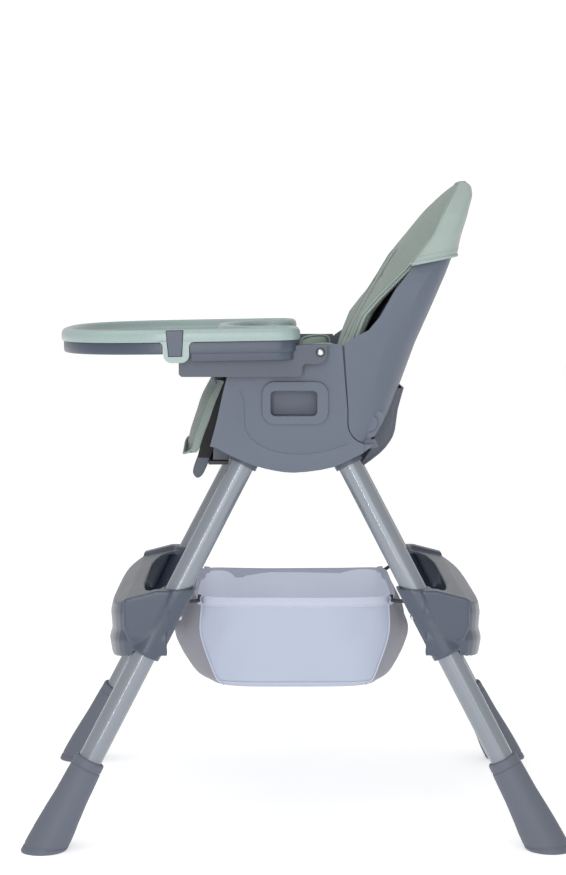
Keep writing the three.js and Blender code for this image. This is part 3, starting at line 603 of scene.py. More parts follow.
# ---- Legs, feet and snap buttons ----
# Steel tubes with metallic grey paint: an upper and a lower length meet inside each bracket sleeve,
# held by a sprung button, and each stands in a moulded foot cut level with the floor.
TUBE_R, TUBE_WALL = 17.5, 1.3
SOCKET_X, SOCKET_Y, SOCKET_Z = 184.0, 77.0, 560.0
SPREAD_X, SPREAD_Y = 0.139, 0.521
UPPER_LEG, LOWER_LEG, BUTTON_Z = (319, 596), (16, 318), 344
CORNERS = ((1, -1, "front_left"), (-1, -1, "front_right"), (1, 1, "rear_left"), (-1, 1, "rear_right"))


def leg_axis(side, end, height):
    """The middle of a leg at a height: below its socket a leg spreads sideways and fore and aft."""
    drop = SOCKET_Z - height
    return np.array([side * (SOCKET_X + SPREAD_X * drop), end * (SOCKET_Y + SPREAD_Y * drop), height])


def beside_leg(side, end, height, distance):
    """A point beside a leg's axis, square to it and towards the middle of the chair."""
    along = leg_axis(side, end, 0) - leg_axis(side, end, SOCKET_Z)
    along /= np.linalg.norm(along)
    inwards = np.array([0.0, -end, 0.0])
    inwards -= inwards.dot(along) * along
    return leg_axis(side, end, height) + distance * inwards / np.linalg.norm(inwards)


tube_paint = Finish("metallic grey paint")
tube_place = tube_paint.here()
flake = tube_paint.noise(tube_place, 2600.0, 1.0)
ripple = tube_paint.noise(tube_place, 45.0, 2.0)
tube_paint.set(
    base_color=tube_paint.mix(flake, srgb(120, 127, 137), srgb(141, 147, 155)),
    metallic=0.35, roughness=(ripple - 0.5) * 0.08 + 0.34, coat_weight=0.9,
    normal=tube_paint.bump(ripple, 0.00004))
tube_paint.shader.inputs["Coat Roughness"].default_value = 0.05


def open_tube(low, high):
    """A plain tube between two points: out along its outside, round the end and back inside."""
    length = np.linalg.norm(np.asarray(high) - np.asarray(low))
    inner = TUBE_R - TUBE_WALL
    steps = np.linspace(0.4, length - 0.4, 24)
    outside = np.column_stack([steps, np.full(24, TUBE_R)])
    inside = np.column_stack([steps[::-1], np.full(24, inner)])
    end = [(length, TUBE_R - 0.4), (length, inner + 0.4)]
    start = [(0, inner + 0.4), (0, TUBE_R - 0.4)]
    return turned(low, high, np.vstack([outside, end, inside, start]), 56)


FOOT_TOP, FOOT_STRAIGHT, FOOT_R = 130, 92, 27.5
foot_outline = [
    (6, 18.0), (0.6, 18.2), (0, 19.2), (0.3, 21.0), (1.4, 22.2), (3, 22.6), (12, 22.9), (13, 22.2),
    (14.4, 22.2), (15.4, 23.2), (30, 23.9), (60, 25.0), (80, 26.6), (FOOT_STRAIGHT, FOOT_R)]
foot_flare = [
    (0.35, 1.6), (0.7, 2.4), (0.8, 2.5), (0.82, 1.7), (0.86, 1.7), (0.88, 2.5), (0.97, 2.5), (1.0, 1.6)]


def foot_skin(side, end):
    """Rings round the leg's axis at growing distance from the foot's top; from the last ring the
    skin runs down along the axis until it meets the floor, and closes there in a flat sole."""
    top = leg_axis(side, end, FOOT_TOP)
    low = leg_axis(side, end, -40)
    rings = turned(top, low, foot_outline, 56)
    along = (low - top) / np.linalg.norm(low - top)
    centre = top + FOOT_STRAIGHT * along
    flared = []
    for share, grow in foot_flare:
        ring = centre + (rings[-1] - centre) * (FOOT_R + grow) / FOOT_R
        drop = ring[:, 2] / -along[2]
        flared.append(ring + share * drop[:, None] * along)
    return np.concatenate([rings, np.stack(flared)])


foot_plastic = moulded_plastic("foot plastic", srgb(94, 100, 112), 0.55, 1.4)
button = [(0, 0), (0, 6), (8, 6), (8.2, 4), (18.6, 4), (19.8, 3.4), (20.5, 2.0), (20.6, 0)]
for side, end, name in CORNERS:
    for part, (low, high) in (("upper", UPPER_LEG), ("lower", LOWER_LEG)):
        tube = open_tube(leg_axis(side, end, low), leg_axis(side, end, high))
        lofted(f"{part}_tube_{name}", tube, tube_paint, "chair", "painted_tube", f"{part}_leg_{name}",
               ends="joined")
    lofted(f"foot_{name}_moulding", foot_skin(side, end), foot_plastic, "chair", "dark_plastic",
           f"foot_{name}")
    stem = turned(beside_leg(side, end, BUTTON_Z, 4), beside_leg(side, end, BUTTON_Z, 24.6), button, 24)
    lofted(f"snap_button_{name}_turned", stem, steel, f"button_{name}", "steel", f"snap_button_{name}",
           ends="open")

# ---- Leg brackets ----
# One grey moulding joins the two front legs and another the two rear legs: a sleeve round each leg,
# blended into a bow that bulges away from the chair.
for name in ("front", "rear"):
    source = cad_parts[f"leg_bracket_{name}"].data
    shape = bmesh.new()
    shape.from_mesh(source)
    bmesh.ops.remove_doubles(shape, verts=shape.verts, dist=2e-5)
    mesh = bpy.data.meshes.new("bracket")
    shape.to_mesh(mesh)
    shape.free()
    bracket = placed(f"leg_bracket_{name}_moulding", mesh, deep_slate, "chair", "dark_plastic",
                     f"leg_bracket_{name}")
    skin = bracket.modifiers.new("skin", "REMESH")
    skin.mode = "VOXEL"
    skin.voxel_size = 0.0021
    skin.use_smooth_shade = True
    soften = bracket.modifiers.new("soften", "SMOOTH")
    soften.factor = 0.5
    soften.iterations = 7

# ---- Backrest cover ----
# A grey-green leatherette slip cover: a crowned foam pad in front, and a hood of one layer pulled over
# the top of the shell, joined by a piped seam and turned under in a stitched hem.
def leather_cloth(name, colour, pebble=1.0):
    """Coated cloth: small rounded pebbles between fine creases, with painted shade darkening the creases
    between the pebbles.
    """
    made = Finish(name)
    place = made.here()
    cells = made.node("TexVoronoi", {"feature": "DISTANCE_TO_EDGE"}, {"Vector": place, "Scale": 720.0}, 0)
    pebbles = (cells * 4.0).clamped()
    cloud = made.noise(place, 11.0, 3.0)
    wrinkle = made.noise(place, 95.0, 3.0, 0.55)
    base = made.mix(cloud, tinted(colour, 0.93), tinted(colour, 1.07))
    made.set(
        # Painted shade: the colour darkens toward each pebble's edge, down in the creases.
        base_color=made.mix(pebbles, tinted(colour, 0.86), base),
        roughness=(cloud - 0.5) * 0.12 + (1.0 - pebbles) * 0.08 + 0.44,
        normal=made.bump(pebbles * 0.6 + wrinkle * 0.9, 0.00022 * pebble))
    made.shader.inputs["Sheen Weight"].default_value = 0.12
    made.shader.inputs["Sheen Roughness"].default_value = 0.4
    return made


SAGE = srgb(131, 146, 138)
sage = leather_cloth("sage leatherette", SAGE)
pale_sage = leather_cloth("pale sage leatherette", srgb(164, 179, 174))
sage_piping = leather_cloth("piping", srgb(150, 165, 158), 0.6)
thread = Finish("polyester thread")
thread_twist = thread.noise(thread.here(), 3200.0, 1.0)
thread.set(base_color=thread.mix(thread_twist, srgb(122, 136, 130), srgb(160, 172, 166)), roughness=0.6,
           normal=thread.bump(thread_twist, 0.0001))


def table(rows, heights):
    """The second column of a table of (height, value) rows, read at the given heights."""
    rows = np.asarray(rows, dtype=float)
    return np.interp(heights, rows[:, 0], rows[:, 1])


PAD_FRONT = smooth_line([
    (51, 650), (63, 695), (81, 741), (109, 796), (149, 865), (175, 902), (203, 941), (229, 965),
    (240, 973)], 80)
EDGE_DROP = [(644, 4), (700, 0), (741, -6), (775, -10), (800, -2), (820, 7), (843, 17), (868, 23), (892, 26),
             (921, 20), (950, 13), (968, 5), (978, 2)]
PAD_EDGE = [(0, 644), (100, 645), (150, 650), (166, 690), (174, 760), (176, 820), (172, 872), (155, 915),
            (124, 948), (80, 966), (35, 973.5), (0, 975.5)]


def closed_edge(points, count):
    """A smooth closed line: the right half of an outline and its mirror image, evenly spaced."""
    right = smooth_line(points, 400)
    whole = np.vstack([right, right[-2:0:-1] * [-1, 1]])
    whole = np.vstack([whole, whole[:1]])
    run = np.concatenate([[0], np.cumsum(np.linalg.norm(np.diff(whole, axis=0), axis=1))])
    even = np.linspace(0, run[-1], count, endpoint=False)
    return np.column_stack([np.interp(even, run, whole[:, k]) for k in range(2)])


def pad_depth(x, z, share):
    """How far back the pad's face lies: the front line, dropping away towards its edge as share^4."""
    front = np.interp(z, PAD_FRONT[:, 1], PAD_FRONT[:, 0])
    return front + (table(EDGE_DROP, z) + 3.0) * share**4


def quilted(x, z):
    """Depth of the sewn lines in the pad's face: one round the head rest and two down the back."""
    head = np.abs(np.hypot(x / 118.0, (z - 888.0) / 66.0) - 1.0) * 85.0
    sides = np.where(z < 812, np.abs(np.abs(x) - 96.0 - 0.05 * (z - 650)), 99.0)
    across = np.where(np.abs(x) < 104, np.abs(z - 742.0), 99.0)
    nearest = np.minimum(np.minimum(head, sides), across)
    return 1.0 * np.exp(-((nearest / 2.6) ** 2)) + 0.5 * np.exp(-((nearest / 9.0) ** 2))


AROUND = 220
edge = closed_edge(PAD_EDGE, AROUND)
PAD_MIDDLE = np.array([0.0, 812.0])
PAD_THICK = 14.0
rings = []
for share in np.concatenate([np.linspace(0, 0.93, 44), [0.95, 0.97, 0.985, 0.995]]):
    plan = PAD_MIDDLE + share * (edge - PAD_MIDDLE)
    roll = 5.0 * max(0.0, (share - 0.9) / 0.1) ** 3
    depth = pad_depth(plan[:, 0], plan[:, 1], share) + roll + quilted(plan[:, 0], plan[:, 1])
    rings.append(np.column_stack([plan[:, 0], depth, plan[:, 1]]))
seam_depth = pad_depth(edge[:, 0], edge[:, 1], 1.0) + 6.0
outwards = (edge - PAD_MIDDLE) / np.linalg.norm(edge - PAD_MIDDLE, axis=1)[:, None]
for part in np.linspace(0.0, 1.0, 9):
    bulge = 2.6 * math.sin(math.pi * part) - 0.6
    plan = edge + outwards * bulge
    rings.append(np.column_stack([plan[:, 0], seam_depth + (PAD_THICK - 5) * part, plan[:, 1]]))
for share in (0.985, 0.95, 0.6, 0.0):
    plan = PAD_MIDDLE + share * (edge - PAD_MIDDLE)
    depth = np.interp(plan[:, 1], PAD_FRONT[:, 1], PAD_FRONT[:, 0]) + 19.0
    rim_share = max(0.0, (share - 0.9) / 0.1)
    depth = depth * (1 - rim_share) + (seam_depth + PAD_THICK - 3) * rim_share
    rings.append(np.column_stack([plan[:, 0], depth, plan[:, 1]]))
back_pad = lofted("backrest_pad", np.stack(rings), [sage, pale_sage], "backrest", "leatherette",
                  "backrest_cover", ends="open", sharp=80)
# Painted light: faces that turn to the side take the pale sage, a lit copy of the sage front, and the front
# keeps the darker sage.
lit_side_faces = np.zeros(len(back_pad.data.polygons), dtype=np.int32)
pad_normals = np.zeros(len(back_pad.data.polygons) * 3)
back_pad.data.polygons.foreach_get("normal", pad_normals)
lit_side_faces[np.abs(pad_normals.reshape(-1, 3)[:, 0]) > 0.75] = 1
back_pad.data.polygons.foreach_set("material_index", lit_side_faces)

seam_plan = edge + outwards * 0.6
seam_line = np.column_stack([seam_plan[:, 0], seam_depth - 0.6, seam_plan[:, 1]])
lofted("backrest_piping", tube_along(np.vstack([seam_line[10:], seam_line[:11]]), 1.7, 8), sage_piping,
       "backrest", "leatherette")

SHELL_REAR = [(733, 180), (780, 200), (835, 224), (861, 234), (888, 240), (930, 254), (955, 262), (968, 263),
              (976, 262)]
SHELL_HALF = [(790, 208), (835, 199), (861, 191.5), (895, 177), (925, 155), (948, 126), (960, 101), (968, 76),
              (973, 52), (976, 30)]
SHELL_FRONT = [(790, 132), (813, 141), (845, 166), (870, 186), (900, 206), (930, 224), (955, 240), (968, 247),
               (976, 252)]
HOOD_GROW = 6.0
HOOD_TOP = 978.5
HEM_FRONT, HEM_SLOPE = 849.0, 0.22
HOOD_ROWS, HOOD_COLUMNS = 46, 150


def hood_skin(grow):
    """The shell's own rings, grown by grow: half of |x/half|^5 + |y/depth|^5 = 1 behind a front line.
    Each row's height runs from the sloping hem to the crown, and the rows crowd together where the
    crown turns over."""
    rise = np.sin(np.linspace(0, np.pi / 2, HOOD_ROWS))[:, None]
    turn = np.linspace(0, np.pi, HOOD_COLUMNS)[None, :]
    lap = np.abs(np.cos(turn))
    hem_depth = table(SHELL_REAR, 858.0) + grow - 176.0
    hem = HEM_FRONT + HEM_SLOPE * hem_depth * np.abs(np.sin(turn)) ** (2 / 5)
    z = hem + (HOOD_TOP - 0.6 - hem) * rise
    look = np.minimum(z, 976.0)
    half = table(SHELL_HALF, look) + grow
    rear = table(SHELL_REAR, look) + grow
    front = table(SHELL_FRONT, look)
    flare = 1.2 * (1 - rise) ** 6
    x = (half + 0.5 * flare) * np.sign(np.cos(turn)) * lap ** (2 / 5)
    y = front + (rear + flare - front) * np.abs(np.sin(turn)) ** (2 / 5)
    closing = np.clip((z - 966.0) / (HOOD_TOP - 966.0), 0, 1) ** 2
    y = y + (258.0 - y) * closing * 0.6
    return np.stack([x, y, z], axis=-1)


# From each front edge of the hood a few more columns lead in to the pad's piped seam.
hood_grid = hood_skin(HOOD_GROW)
right_seam = edge[:, 0] >= 0
seam_heights = edge[right_seam][:, 1]
order = np.argsort(seam_heights)
seam_x = np.interp(hood_grid[:, 0, 2], seam_heights[order], edge[right_seam][order][:, 0]) + 1.2
seam_y = np.interp(hood_grid[:, 0, 2], seam_heights[order], seam_depth[right_seam][order]) + 1.0
lead = np.linspace(0, 1, 9)[:-1][None, :, None]
fronts = []
for mirror, first in ((1, hood_grid[:, 0]), (-1, hood_grid[:, -1])):
    seam = np.column_stack([mirror * seam_x, seam_y, hood_grid[:, 0, 2]])
    stretch = seam[:, None, :] * (1 - lead) + first[:, None, :] * lead
    stretch[..., 1] -= 2.0 * np.sin(np.pi * lead[..., 0])
    fronts.append(stretch)
hood_grid = np.concatenate([fronts[0], hood_grid, fronts[1][:, ::-1]], axis=1)
tension = np.sin(hood_grid[..., 0] * 0.09 + hood_grid[..., 2] * 0.05) * np.sin(hood_grid[..., 2] * 0.11 + 1.3)
hood_grid[..., 1] += 0.5 * tension
crown = hood_grid[-1:].copy()
crown[..., 0] *= 0.3
crown[..., 1] = 258.0 + (crown[..., 1] - 258.0) * 0.3
crown[..., 2] = HOOD_TOP
ridge = crown.copy()
ridge[..., 0] = 0.0
ridge[..., 1] = 258.0
hood_grid = np.concatenate([hood_grid, crown, ridge])


def thickened(piece, thickness):
    """Gives a sheet its thickness in mm, inwards from its outer face."""
    wall = piece.modifiers.new("thickness", "SOLIDIFY")
    wall.thickness = thickness * MM
    wall.offset = -1.0


hood = placed("backrest_hood", new_mesh("hood", *surface(hood_grid)), pale_sage, "backrest", "leatherette",
              sharp=80)
thickened(hood, 1.3)
hem_line = hood_grid[0] + np.array([0, 0, 2.2])
hem_out = hem_line.copy()
hem_out[:, :2] *= 1.0 + 0.6 / np.linalg.norm(hem_line[:, :2], axis=1)[:, None]
hem = lofted("backrest_hood_hem", tube_along(hem_out, 1.9), pale_sage, "backrest", "leatherette")


def stitches(name, line, finish, body, slot, length=3.6, gap=1.5, radius=0.32):
    """A row of short raised stitches along a line in mm: flattened six-sided spindles of equal length."""
    line = np.asarray(line, dtype=float)
    run = np.concatenate([[0], np.cumsum(np.linalg.norm(np.diff(line, axis=0), axis=1))])
    count = int(run[-1] / (length + gap))
    part = (np.arange(count)[:, None] * (length + gap) + np.linspace(0, length, 4)[None, :])
    centre = np.stack([np.interp(part, run, line[:, k]) for k in range(3)], axis=-1)
    along = centre[:, -1] - centre[:, 0]
    along /= np.linalg.norm(along, axis=1)[:, None]
    side = np.cross(along, (0.13, 0.31, 0.94))
    side /= np.linalg.norm(side, axis=1)[:, None]
    other = np.cross(along, side)
    swell = radius * np.array([0.25, 1.0, 1.0, 0.25])
    angle = np.linspace(0, 2 * np.pi, 6, endpoint=False)
    ring = np.cos(angle)[None, :, None] * side[:, None, :] + np.sin(angle)[None, :, None] * other[:, None, :]
    points = centre[:, :, None, :] + swell[None, :, None, None] * ring[:, None, :, :]
    one = grid_faces(4, 6, close_columns=True).tolist() + [list(range(6)), list(range(18, 24))]
    faces = [[k * 24 + corner for corner in face] for k in range(count) for face in one]
    return placed(name, new_mesh(name, points.reshape(-1, 3) * MM, faces), finish, body, slot)


stitch_line = hood_grid[3]
stitch_out = stitch_line.copy()
stitch_out[:, :2] *= 1.0 + 0.25 / np.linalg.norm(stitch_line[:, :2], axis=1)[:, None]
stitches("backrest_hood_stitching", stitch_out[4:-4], thread, "backrest", "leatherette")

# ---- Seat cushion ----
# A foam slab on the sloping pan with a thin raised bolster at each side, sewn from the same leatherette.
FOOT_LINE = smooth_line([(-94, 657), (-50, 649), (10, 636.5), (42, 630)], 30)
SIM_FRAMES = 20


def slab(outline_low, outline_high, half, crown, columns=40):
    """A rounded cushion across the seat: its side view is a closed line whose height bulges by crown
    towards the middle, and shrinks as sqrt(1 - share^8) of the way to the side."""
    share = np.sin(np.linspace(-np.pi / 2, np.pi / 2, columns))
    low, high = np.asarray(outline_low, float), np.asarray(outline_high, float)
    middle = (low + high) / 2
    rows = []
    for s in share:
        pinch = (1 - abs(s) ** 8) ** 0.5
        lift = crown * (1 - s**2)
        top = middle + (high + [0, lift] - middle) * pinch
        bottom = middle + (low - middle) * pinch
        ring = np.vstack([bottom, top[::-1]])
        rows.append(np.column_stack([np.full(len(ring), s * half), ring]))
    return np.stack(rows)


def puffed(piece, voxel, pressure, reach, fixed):
    """Blows a padded piece up like sewn cloth: remeshed evenly, inflated by cloth pressure without gravity,
    and each point kept within reach of where it began; points where fixed is true stay put."""
    even = piece.modifiers.new("even", "REMESH")
    even.mode = "VOXEL"
    even.voxel_size = voxel * MM
    bpy.context.view_layer.update()
    mesh = bpy.data.meshes.new_from_object(piece.evaluated_get(bpy.context.evaluated_depsgraph_get()))
    piece.modifiers.clear()
    kept = list(piece.data.materials)
    mesh.materials.clear()
    for each in kept:
        mesh.materials.append(each)
    piece.data = mesh
    start = np.zeros(len(mesh.vertices) * 3)
    mesh.vertices.foreach_get("co", start)
    start = start.reshape(-1, 3)
    held = fixed(start / MM)
    pins = piece.vertex_groups.new(name="pins")
    pins.add(np.flatnonzero(held).tolist(), 1.0, "REPLACE")
    cloth = piece.modifiers.new("cloth", "CLOTH")
    cloth.settings.quality = 5
    cloth.settings.vertex_group_mass = "pins"
    cloth.settings.use_pressure = True
    cloth.settings.uniform_pressure_force = pressure
    cloth.settings.effector_weights.gravity = 0
    scene = bpy.context.scene
    for step in range(1, SIM_FRAMES + 1):
        scene.frame_set(step)
    blown = bpy.data.meshes.new_from_object(piece.evaluated_get(bpy.context.evaluated_depsgraph_get()))
    scene.frame_set(1)
    piece.modifiers.clear()
    end = np.zeros(len(blown.vertices) * 3)
    blown.vertices.foreach_get("co", end)
    move = end.reshape(-1, 3) - start
    far = np.linalg.norm(move, axis=1)[:, None]
    move *= np.minimum(1.0, reach * MM / np.maximum(far, 1e-9))
    mesh.vertices.foreach_set("co", (start + move).ravel())
    bpy.data.meshes.remove(blown)
    soften = piece.modifiers.new("soften", "SMOOTH")
    soften.factor = 0.5
    soften.iterations = 4
    bpy.context.view_layer.update()
    result = bpy.data.meshes.new_from_object(piece.evaluated_get(bpy.context.evaluated_depsgraph_get()))
    piece.modifiers.clear()
    result.materials.clear()
    for each in kept:
        result.materials.append(each)
    piece.data = result
    result.shade_smooth()
    return piece


cushion_points, cushion_faces = surface(slab(FOOT_LINE + [0, 1.0], FOOT_LINE + [0, 17.0], 167, 2.0),
                                        close_columns=True, caps=(0, 39))
bolster_line = np.array([
    (-66, 660), (-20, 652), (34, 645), (46, 654), (58, 700), (60, 727), (50, 734), (30, 733), (14, 727),
    (6, 704), (-36, 692)], dtype=float)
all_points, all_faces = [cushion_points], list(cushion_faces)
for side in (1, -1):
    outline = smooth_line(np.vstack([bolster_line, bolster_line[:1]]), 61)[:-1]
    middle = outline.mean(axis=0)
    layers = [(169.5, 0.94), (171, 0.985), (176, 1.0), (180.5, 0.985), (182, 0.94)]
    layer_points = np.stack([
        np.column_stack([np.full(60, side * x), middle + (outline - middle) * size]) for x, size in layers])
    points, faces = surface(layer_points, close_columns=True, caps=(0, 4))
    shift = sum(len(each) for each in all_points)
    all_points.append(points)
    all_faces += [[corner + shift for corner in face] for face in faces]
cushion = placed("seat_cushion_padded", new_mesh("cushion", np.vstack(all_points), all_faces), sage, "chair",
                 "leatherette", "seat_cushion", sharp=80)


def on_the_pan(points):
    """True for the cushion's underside, which lies flat on the pan."""
    pan = np.interp(points[:, 1], FOOT_LINE[:, 0], FOOT_LINE[:, 1])
    return (points[:, 2] < pan + 4) & (np.abs(points[:, 0]) < 166)


puffed(cushion, 4.0, 4.0, 3.5, on_the_pan)
piping_side = smooth_line(np.vstack([bolster_line, bolster_line[:1]]), 90)
for side, name in SIDES:
    line = np.column_stack([np.full(90, side * 177.0), piping_side])
    lofted(f"bolster_piping_{name}", tube_along(line, 1.5, 8), sage_piping, "chair", "leatherette")

# ---- Calf pad ----
# The cushion's apron: a thin pad hanging in front of the calf plate, bowed forwards across its middle, with
# pale sage strips and piping at its sides that are painted light for its lit side edges, two stiff corners
# that kick forwards at the bottom, and behind it a near-black sheet that is painted shade for the gap.
CALF_LINE = smooth_line([
    (-112, 676), (-127.5, 649.5), (-138, 623), (-147.8, 598), (-154.4, 577), (-160, 569.6),
    (-169, 565.6)], 50)
CALF_HALF = 106.0
CALF_THICK = 11.5
calf_share = np.sin(np.linspace(-np.pi / 2, np.pi / 2, 61))


def calf_skin():
    """The apron's face across and down, then its back: the front line pushed forwards in the middle by
    18 mm at the top and 9 at the bottom times 1 - |share|^3, and lifted and drawn back at the middle of
    the hem."""
    down = np.linspace(0, 1, 50)[:, None]
    share = calf_share[None, :]
    hem_pull = np.clip((down - 0.80) / 0.20, 0, 1) ** 2
    crown = (18 - 9 * down) * (1 - np.abs(share) ** 3)
    y = CALF_LINE[:, 0][:, None] - crown
    z = CALF_LINE[:, 1][:, None] + 0 * share
    y = y + hem_pull * (9.0 * (1 - share**4))
    z = z + hem_pull * (11.0 * (1 - share**4))
    x = CALF_HALF * share + 0 * down
    face = np.stack([x, y, z], axis=-1)
    side_edge = np.sqrt(np.clip(1 - np.abs(share) ** 24, 0, 1))
    end_edge = np.sqrt(np.clip(1 - np.abs(2 * down - 1) ** 30, 0, 1))
    thin = CALF_THICK * side_edge * (1 - 0.8 * hem_pull) * end_edge
    back = face + np.stack([0 * x, thin * 0.93, -thin * 0.30], axis=-1)
    return np.concatenate([face, back[::-1]])


calf = placed("calf_pad_padded", new_mesh("calf", *surface(calf_skin(), close_rows=True), merge=2e-5),
              [sage], "chair", "leatherette", "calf_pad", sharp=80)
calf_grid = calf_skin()[:50]
# Painted shade: a near-black sheet behind the calf pad stands for the dark gap between the pad and the calf
# plate.
gap_shade_front = smooth_line([
    (-105, 682), (-112, 664), (-121.5, 641), (-131, 613), (-140.5, 588), (-146, 568), (-147, 561)], 24)
gap_shade_back = np.array([(-128, 560.5), (-120, 590), (-110, 618), (-102, 640), (-94, 682)])
gap_shade_sheet = moulded_plastic("painted gap shade", srgb(17, 18, 18), 0.65)
lofted("calf_gap_shade", prism(np.vstack([gap_shade_front, gap_shade_back]), -123.5, 123.5), gap_shade_sheet, "chair",
       "dark_plastic")
# Painted light: the pale sage strips on the pad's side walls and the pale piping along its side edges stand
# for the brightly lit sides of the pad.
lit_edge_strip = np.vstack([CALF_LINE[:42] + [0.6, 0.4], (CALF_LINE[:42] + [9.6, -3.0])[::-1]])
for side, name in SIDES:
    lofted(f"calf_lit_edge_{name}", prism(lit_edge_strip, side * (CALF_HALF - 4), side * (CALF_HALF + 1.2)),
           pale_sage, "chair", "leatherette")
for name, column in (("left", -1), ("right", 0)):
    lofted(f"calf_piping_{name}", tube_along(calf_grid[:, column] + [0, 1.0, 0], 1.7, 8), pale_sage,
           "chair", "leatherette")
lofted("calf_hem", tube_along(calf_grid[-1], 1.9, 8), pale_sage, "chair", "leatherette")
stitches("calf_stitching", calf_grid[-6, 4:-4] - [0, 0.6, 0], thread, "chair", "leatherette")

# ---- Harness ----
# Grey polyester webbing 25 mm wide: two shoulder straps, two lap straps and a crotch strap meet in a
# black buckle with a raised button.
def webbing(name, colour):
    """Flat woven tape: fine ribs across its width, and a few darker warp lines."""
    made = Finish(name)
    place = made.here()
    x, y, z = made.axes(place)
    rib = ((y + z * 0.7) * 4200.0).sine()
    warp = (x * 3600.0).sine()
    weave = (rib * warp + 1.0) * 0.5
    fuzz = made.noise(place, 900.0, 2.0)
    made.set(
        base_color=made.mix(weave * 0.4 + fuzz * 0.6, tinted(colour, 0.85), tinted(colour, 1.15)),
        roughness=fuzz * 0.1 + 0.78, normal=made.bump(weave, 0.0002))
    return made


strap_grey = webbing("harness webbing", srgb(116, 128, 122))


def strap(line, across, width, thick=1.9):
    """A flat tape along a line: an oval section, much wider than thick, with bound edges."""
    line = np.asarray(line, float)
    along = np.gradient(line, axis=0)
    along /= np.linalg.norm(along, axis=1)[:, None]
    across = np.broadcast_to(np.asarray(across, float), line.shape)
    across = across - (across * along).sum(axis=1)[:, None] * along
    across = across / np.linalg.norm(across, axis=1)[:, None]
    up = np.cross(across, along)
    angle = np.linspace(0, 2 * np.pi, 28, endpoint=False)
    c, s = np.cos(angle), np.sin(angle)
    wide = width / 2 * np.sign(c) * np.abs(c) ** 0.35
    high = thick / 2 * np.sign(s) * np.abs(s) ** 0.7
    return line[:, None, :] + wide[None, :, None] * across[:, None, :] + high[None, :, None] * up[:, None, :]


STRAP_WIDE = 25
back_run = PAD_FRONT[(PAD_FRONT[:, 1] > 694) & (PAD_FRONT[:, 1] < 878)]
for side, name in SIDES:
    sunk = 0.9 + 2.6 * np.clip((back_run[:, 1] - 864) / 14, 0, 1) ** 2
    line = np.column_stack([np.full(len(back_run), side * 54.5), back_run[:, 0] + sunk, back_run[:, 1]])
    lofted(f"shoulder_strap_{name}_webbing", strap(line, (1, 0, 0), STRAP_WIDE), strap_grey, "backrest",
           "harness_webbing", f"shoulder_strap_{name}")
    lap = smooth_line([
        (side * 30, -8, 671), (side * 50, 0, 668.5), (side * 95, 15, 665.6), (side * 130, 27, 664.6),
        (side * 156, 36, 664.4)], 40)
    lofted(f"lap_strap_{name}_webbing", strap(lap, (-0.32 * side, 0.95, 0), STRAP_WIDE), strap_grey, "chair",
           "harness_webbing", f"lap_strap_{name}")
crotch = smooth_line([(0, -70, 677.5), (0, -58, 675.0), (0, -40, 672.6), (0, -24, 671.5)], 24)
lofted("crotch_strap_webbing", strap(crotch, (1, 0, 0), STRAP_WIDE), strap_grey, "chair", "harness_webbing",
       "crotch_strap")


def rounded_block(half_x, half_y, centre, heights, power=4.0, around=72):
    """A soft-cornered block: squared ovals at each (height, size) of a list."""
    angle = np.linspace(0, 2 * np.pi, around, endpoint=False)
    c, s = np.cos(angle), np.sin(angle)
    plan = np.column_stack([half_x * np.sign(c) * np.abs(c) ** (2 / power),
                            half_y * np.sign(s) * np.abs(s) ** (2 / power)])
    return np.stack([np.column_stack([centre[0] + plan[:, 0] * size, centre[1] + plan[:, 1] * size,
                                      np.full(around, height)]) for height, size in heights])


buckle_rows = [
    (668, 0.93), (668.6, 0.97), (670, 1.0), (672.6, 1.0), (673, 0.985), (673.4, 0.985), (673.8, 1.0),
    (676.6, 1.0), (678.6, 0.965), (679.7, 0.90), (680, 0.84), (680, 0.62), (679.2, 0.59), (678.2, 0.57)]
lofted("harness_buckle_case", rounded_block(27, 20, (0, -4), buckle_rows), black_plastic, "chair",
       "black_plastic", "harness_buckle")
button_rows = [(677.6, 1.0), (679.4, 1.0), (680.3, 0.95), (680.7, 0.85), (680.6, 0.5), (680.4, 0.2)]
lofted("harness_buckle_button", rounded_block(13.5, 9.5, (0, -4), button_rows, 3.0), slate, "chair",
       "black_plastic")

# ---- Basket ----
# A sewn nylon basket hung from four hooks on the leg brackets: lavender-grey sides, taupe ends, a
# double-turned hem round the mouth and piping down the corners and along the bottom. Its inside is a
# paler copy of the cloth with a faint emission: painted light for the light that shows through thin cloth.
def woven_nylon(name, colour):
    """Plain weave of thin nylon: two sets of threads crossing at 1 mm, with soft creases."""
    made = Finish(name)
    place = made.here()
    x, y, z = made.axes(place)
    threads = ((x + y) * 5600.0).sine() * (z * 5600.0).sine()
    weave = (threads + 1.0) * 0.5
    crease = made.noise(place, 22.0, 4.0, 0.55)
    cloud = made.noise(place, 7.0, 2.0)
    base = made.mix(cloud, tinted(colour, 0.95), tinted(colour, 1.05))
    made.set(
        base_color=made.mix(weave * 0.5, base, tinted(colour, 0.86)),
        roughness=weave * 0.1 + 0.55, normal=made.bump(weave * 0.15 + crease * 3.0, 0.0008, 0.5))
    made.shader.inputs["Sheen Weight"].default_value = 0.15
    return made


lavender = woven_nylon("lavender nylon", srgb(179, 187, 206))
# Painted light: the inside face is a paler copy of the lavender nylon with a faint emission, standing for
# light through the thin cloth.
painted_glow_nylon = woven_nylon("nylon inside, painted glow", srgb(214, 218, 228))
painted_glow_nylon.shader.inputs["Emission Color"].default_value = (0.62, 0.66, 0.78, 1.0)
painted_glow_nylon.shader.inputs["Emission Strength"].default_value = 0.16
taupe = woven_nylon("taupe nylon", srgb(140, 140, 150))
band_cloth = woven_nylon("hem nylon", srgb(192, 197, 214))
BASKET_RINGS = [
    (0, 122, 119, 210, 12, 0.38), (0.12, 131, 131, 228, 26, 0.37), (0.55, 138, 143, 290, 40, 0.30),
    (1.0, 140, 148, 352, 5, 0.18)]
BASKET_COLUMNS = 160


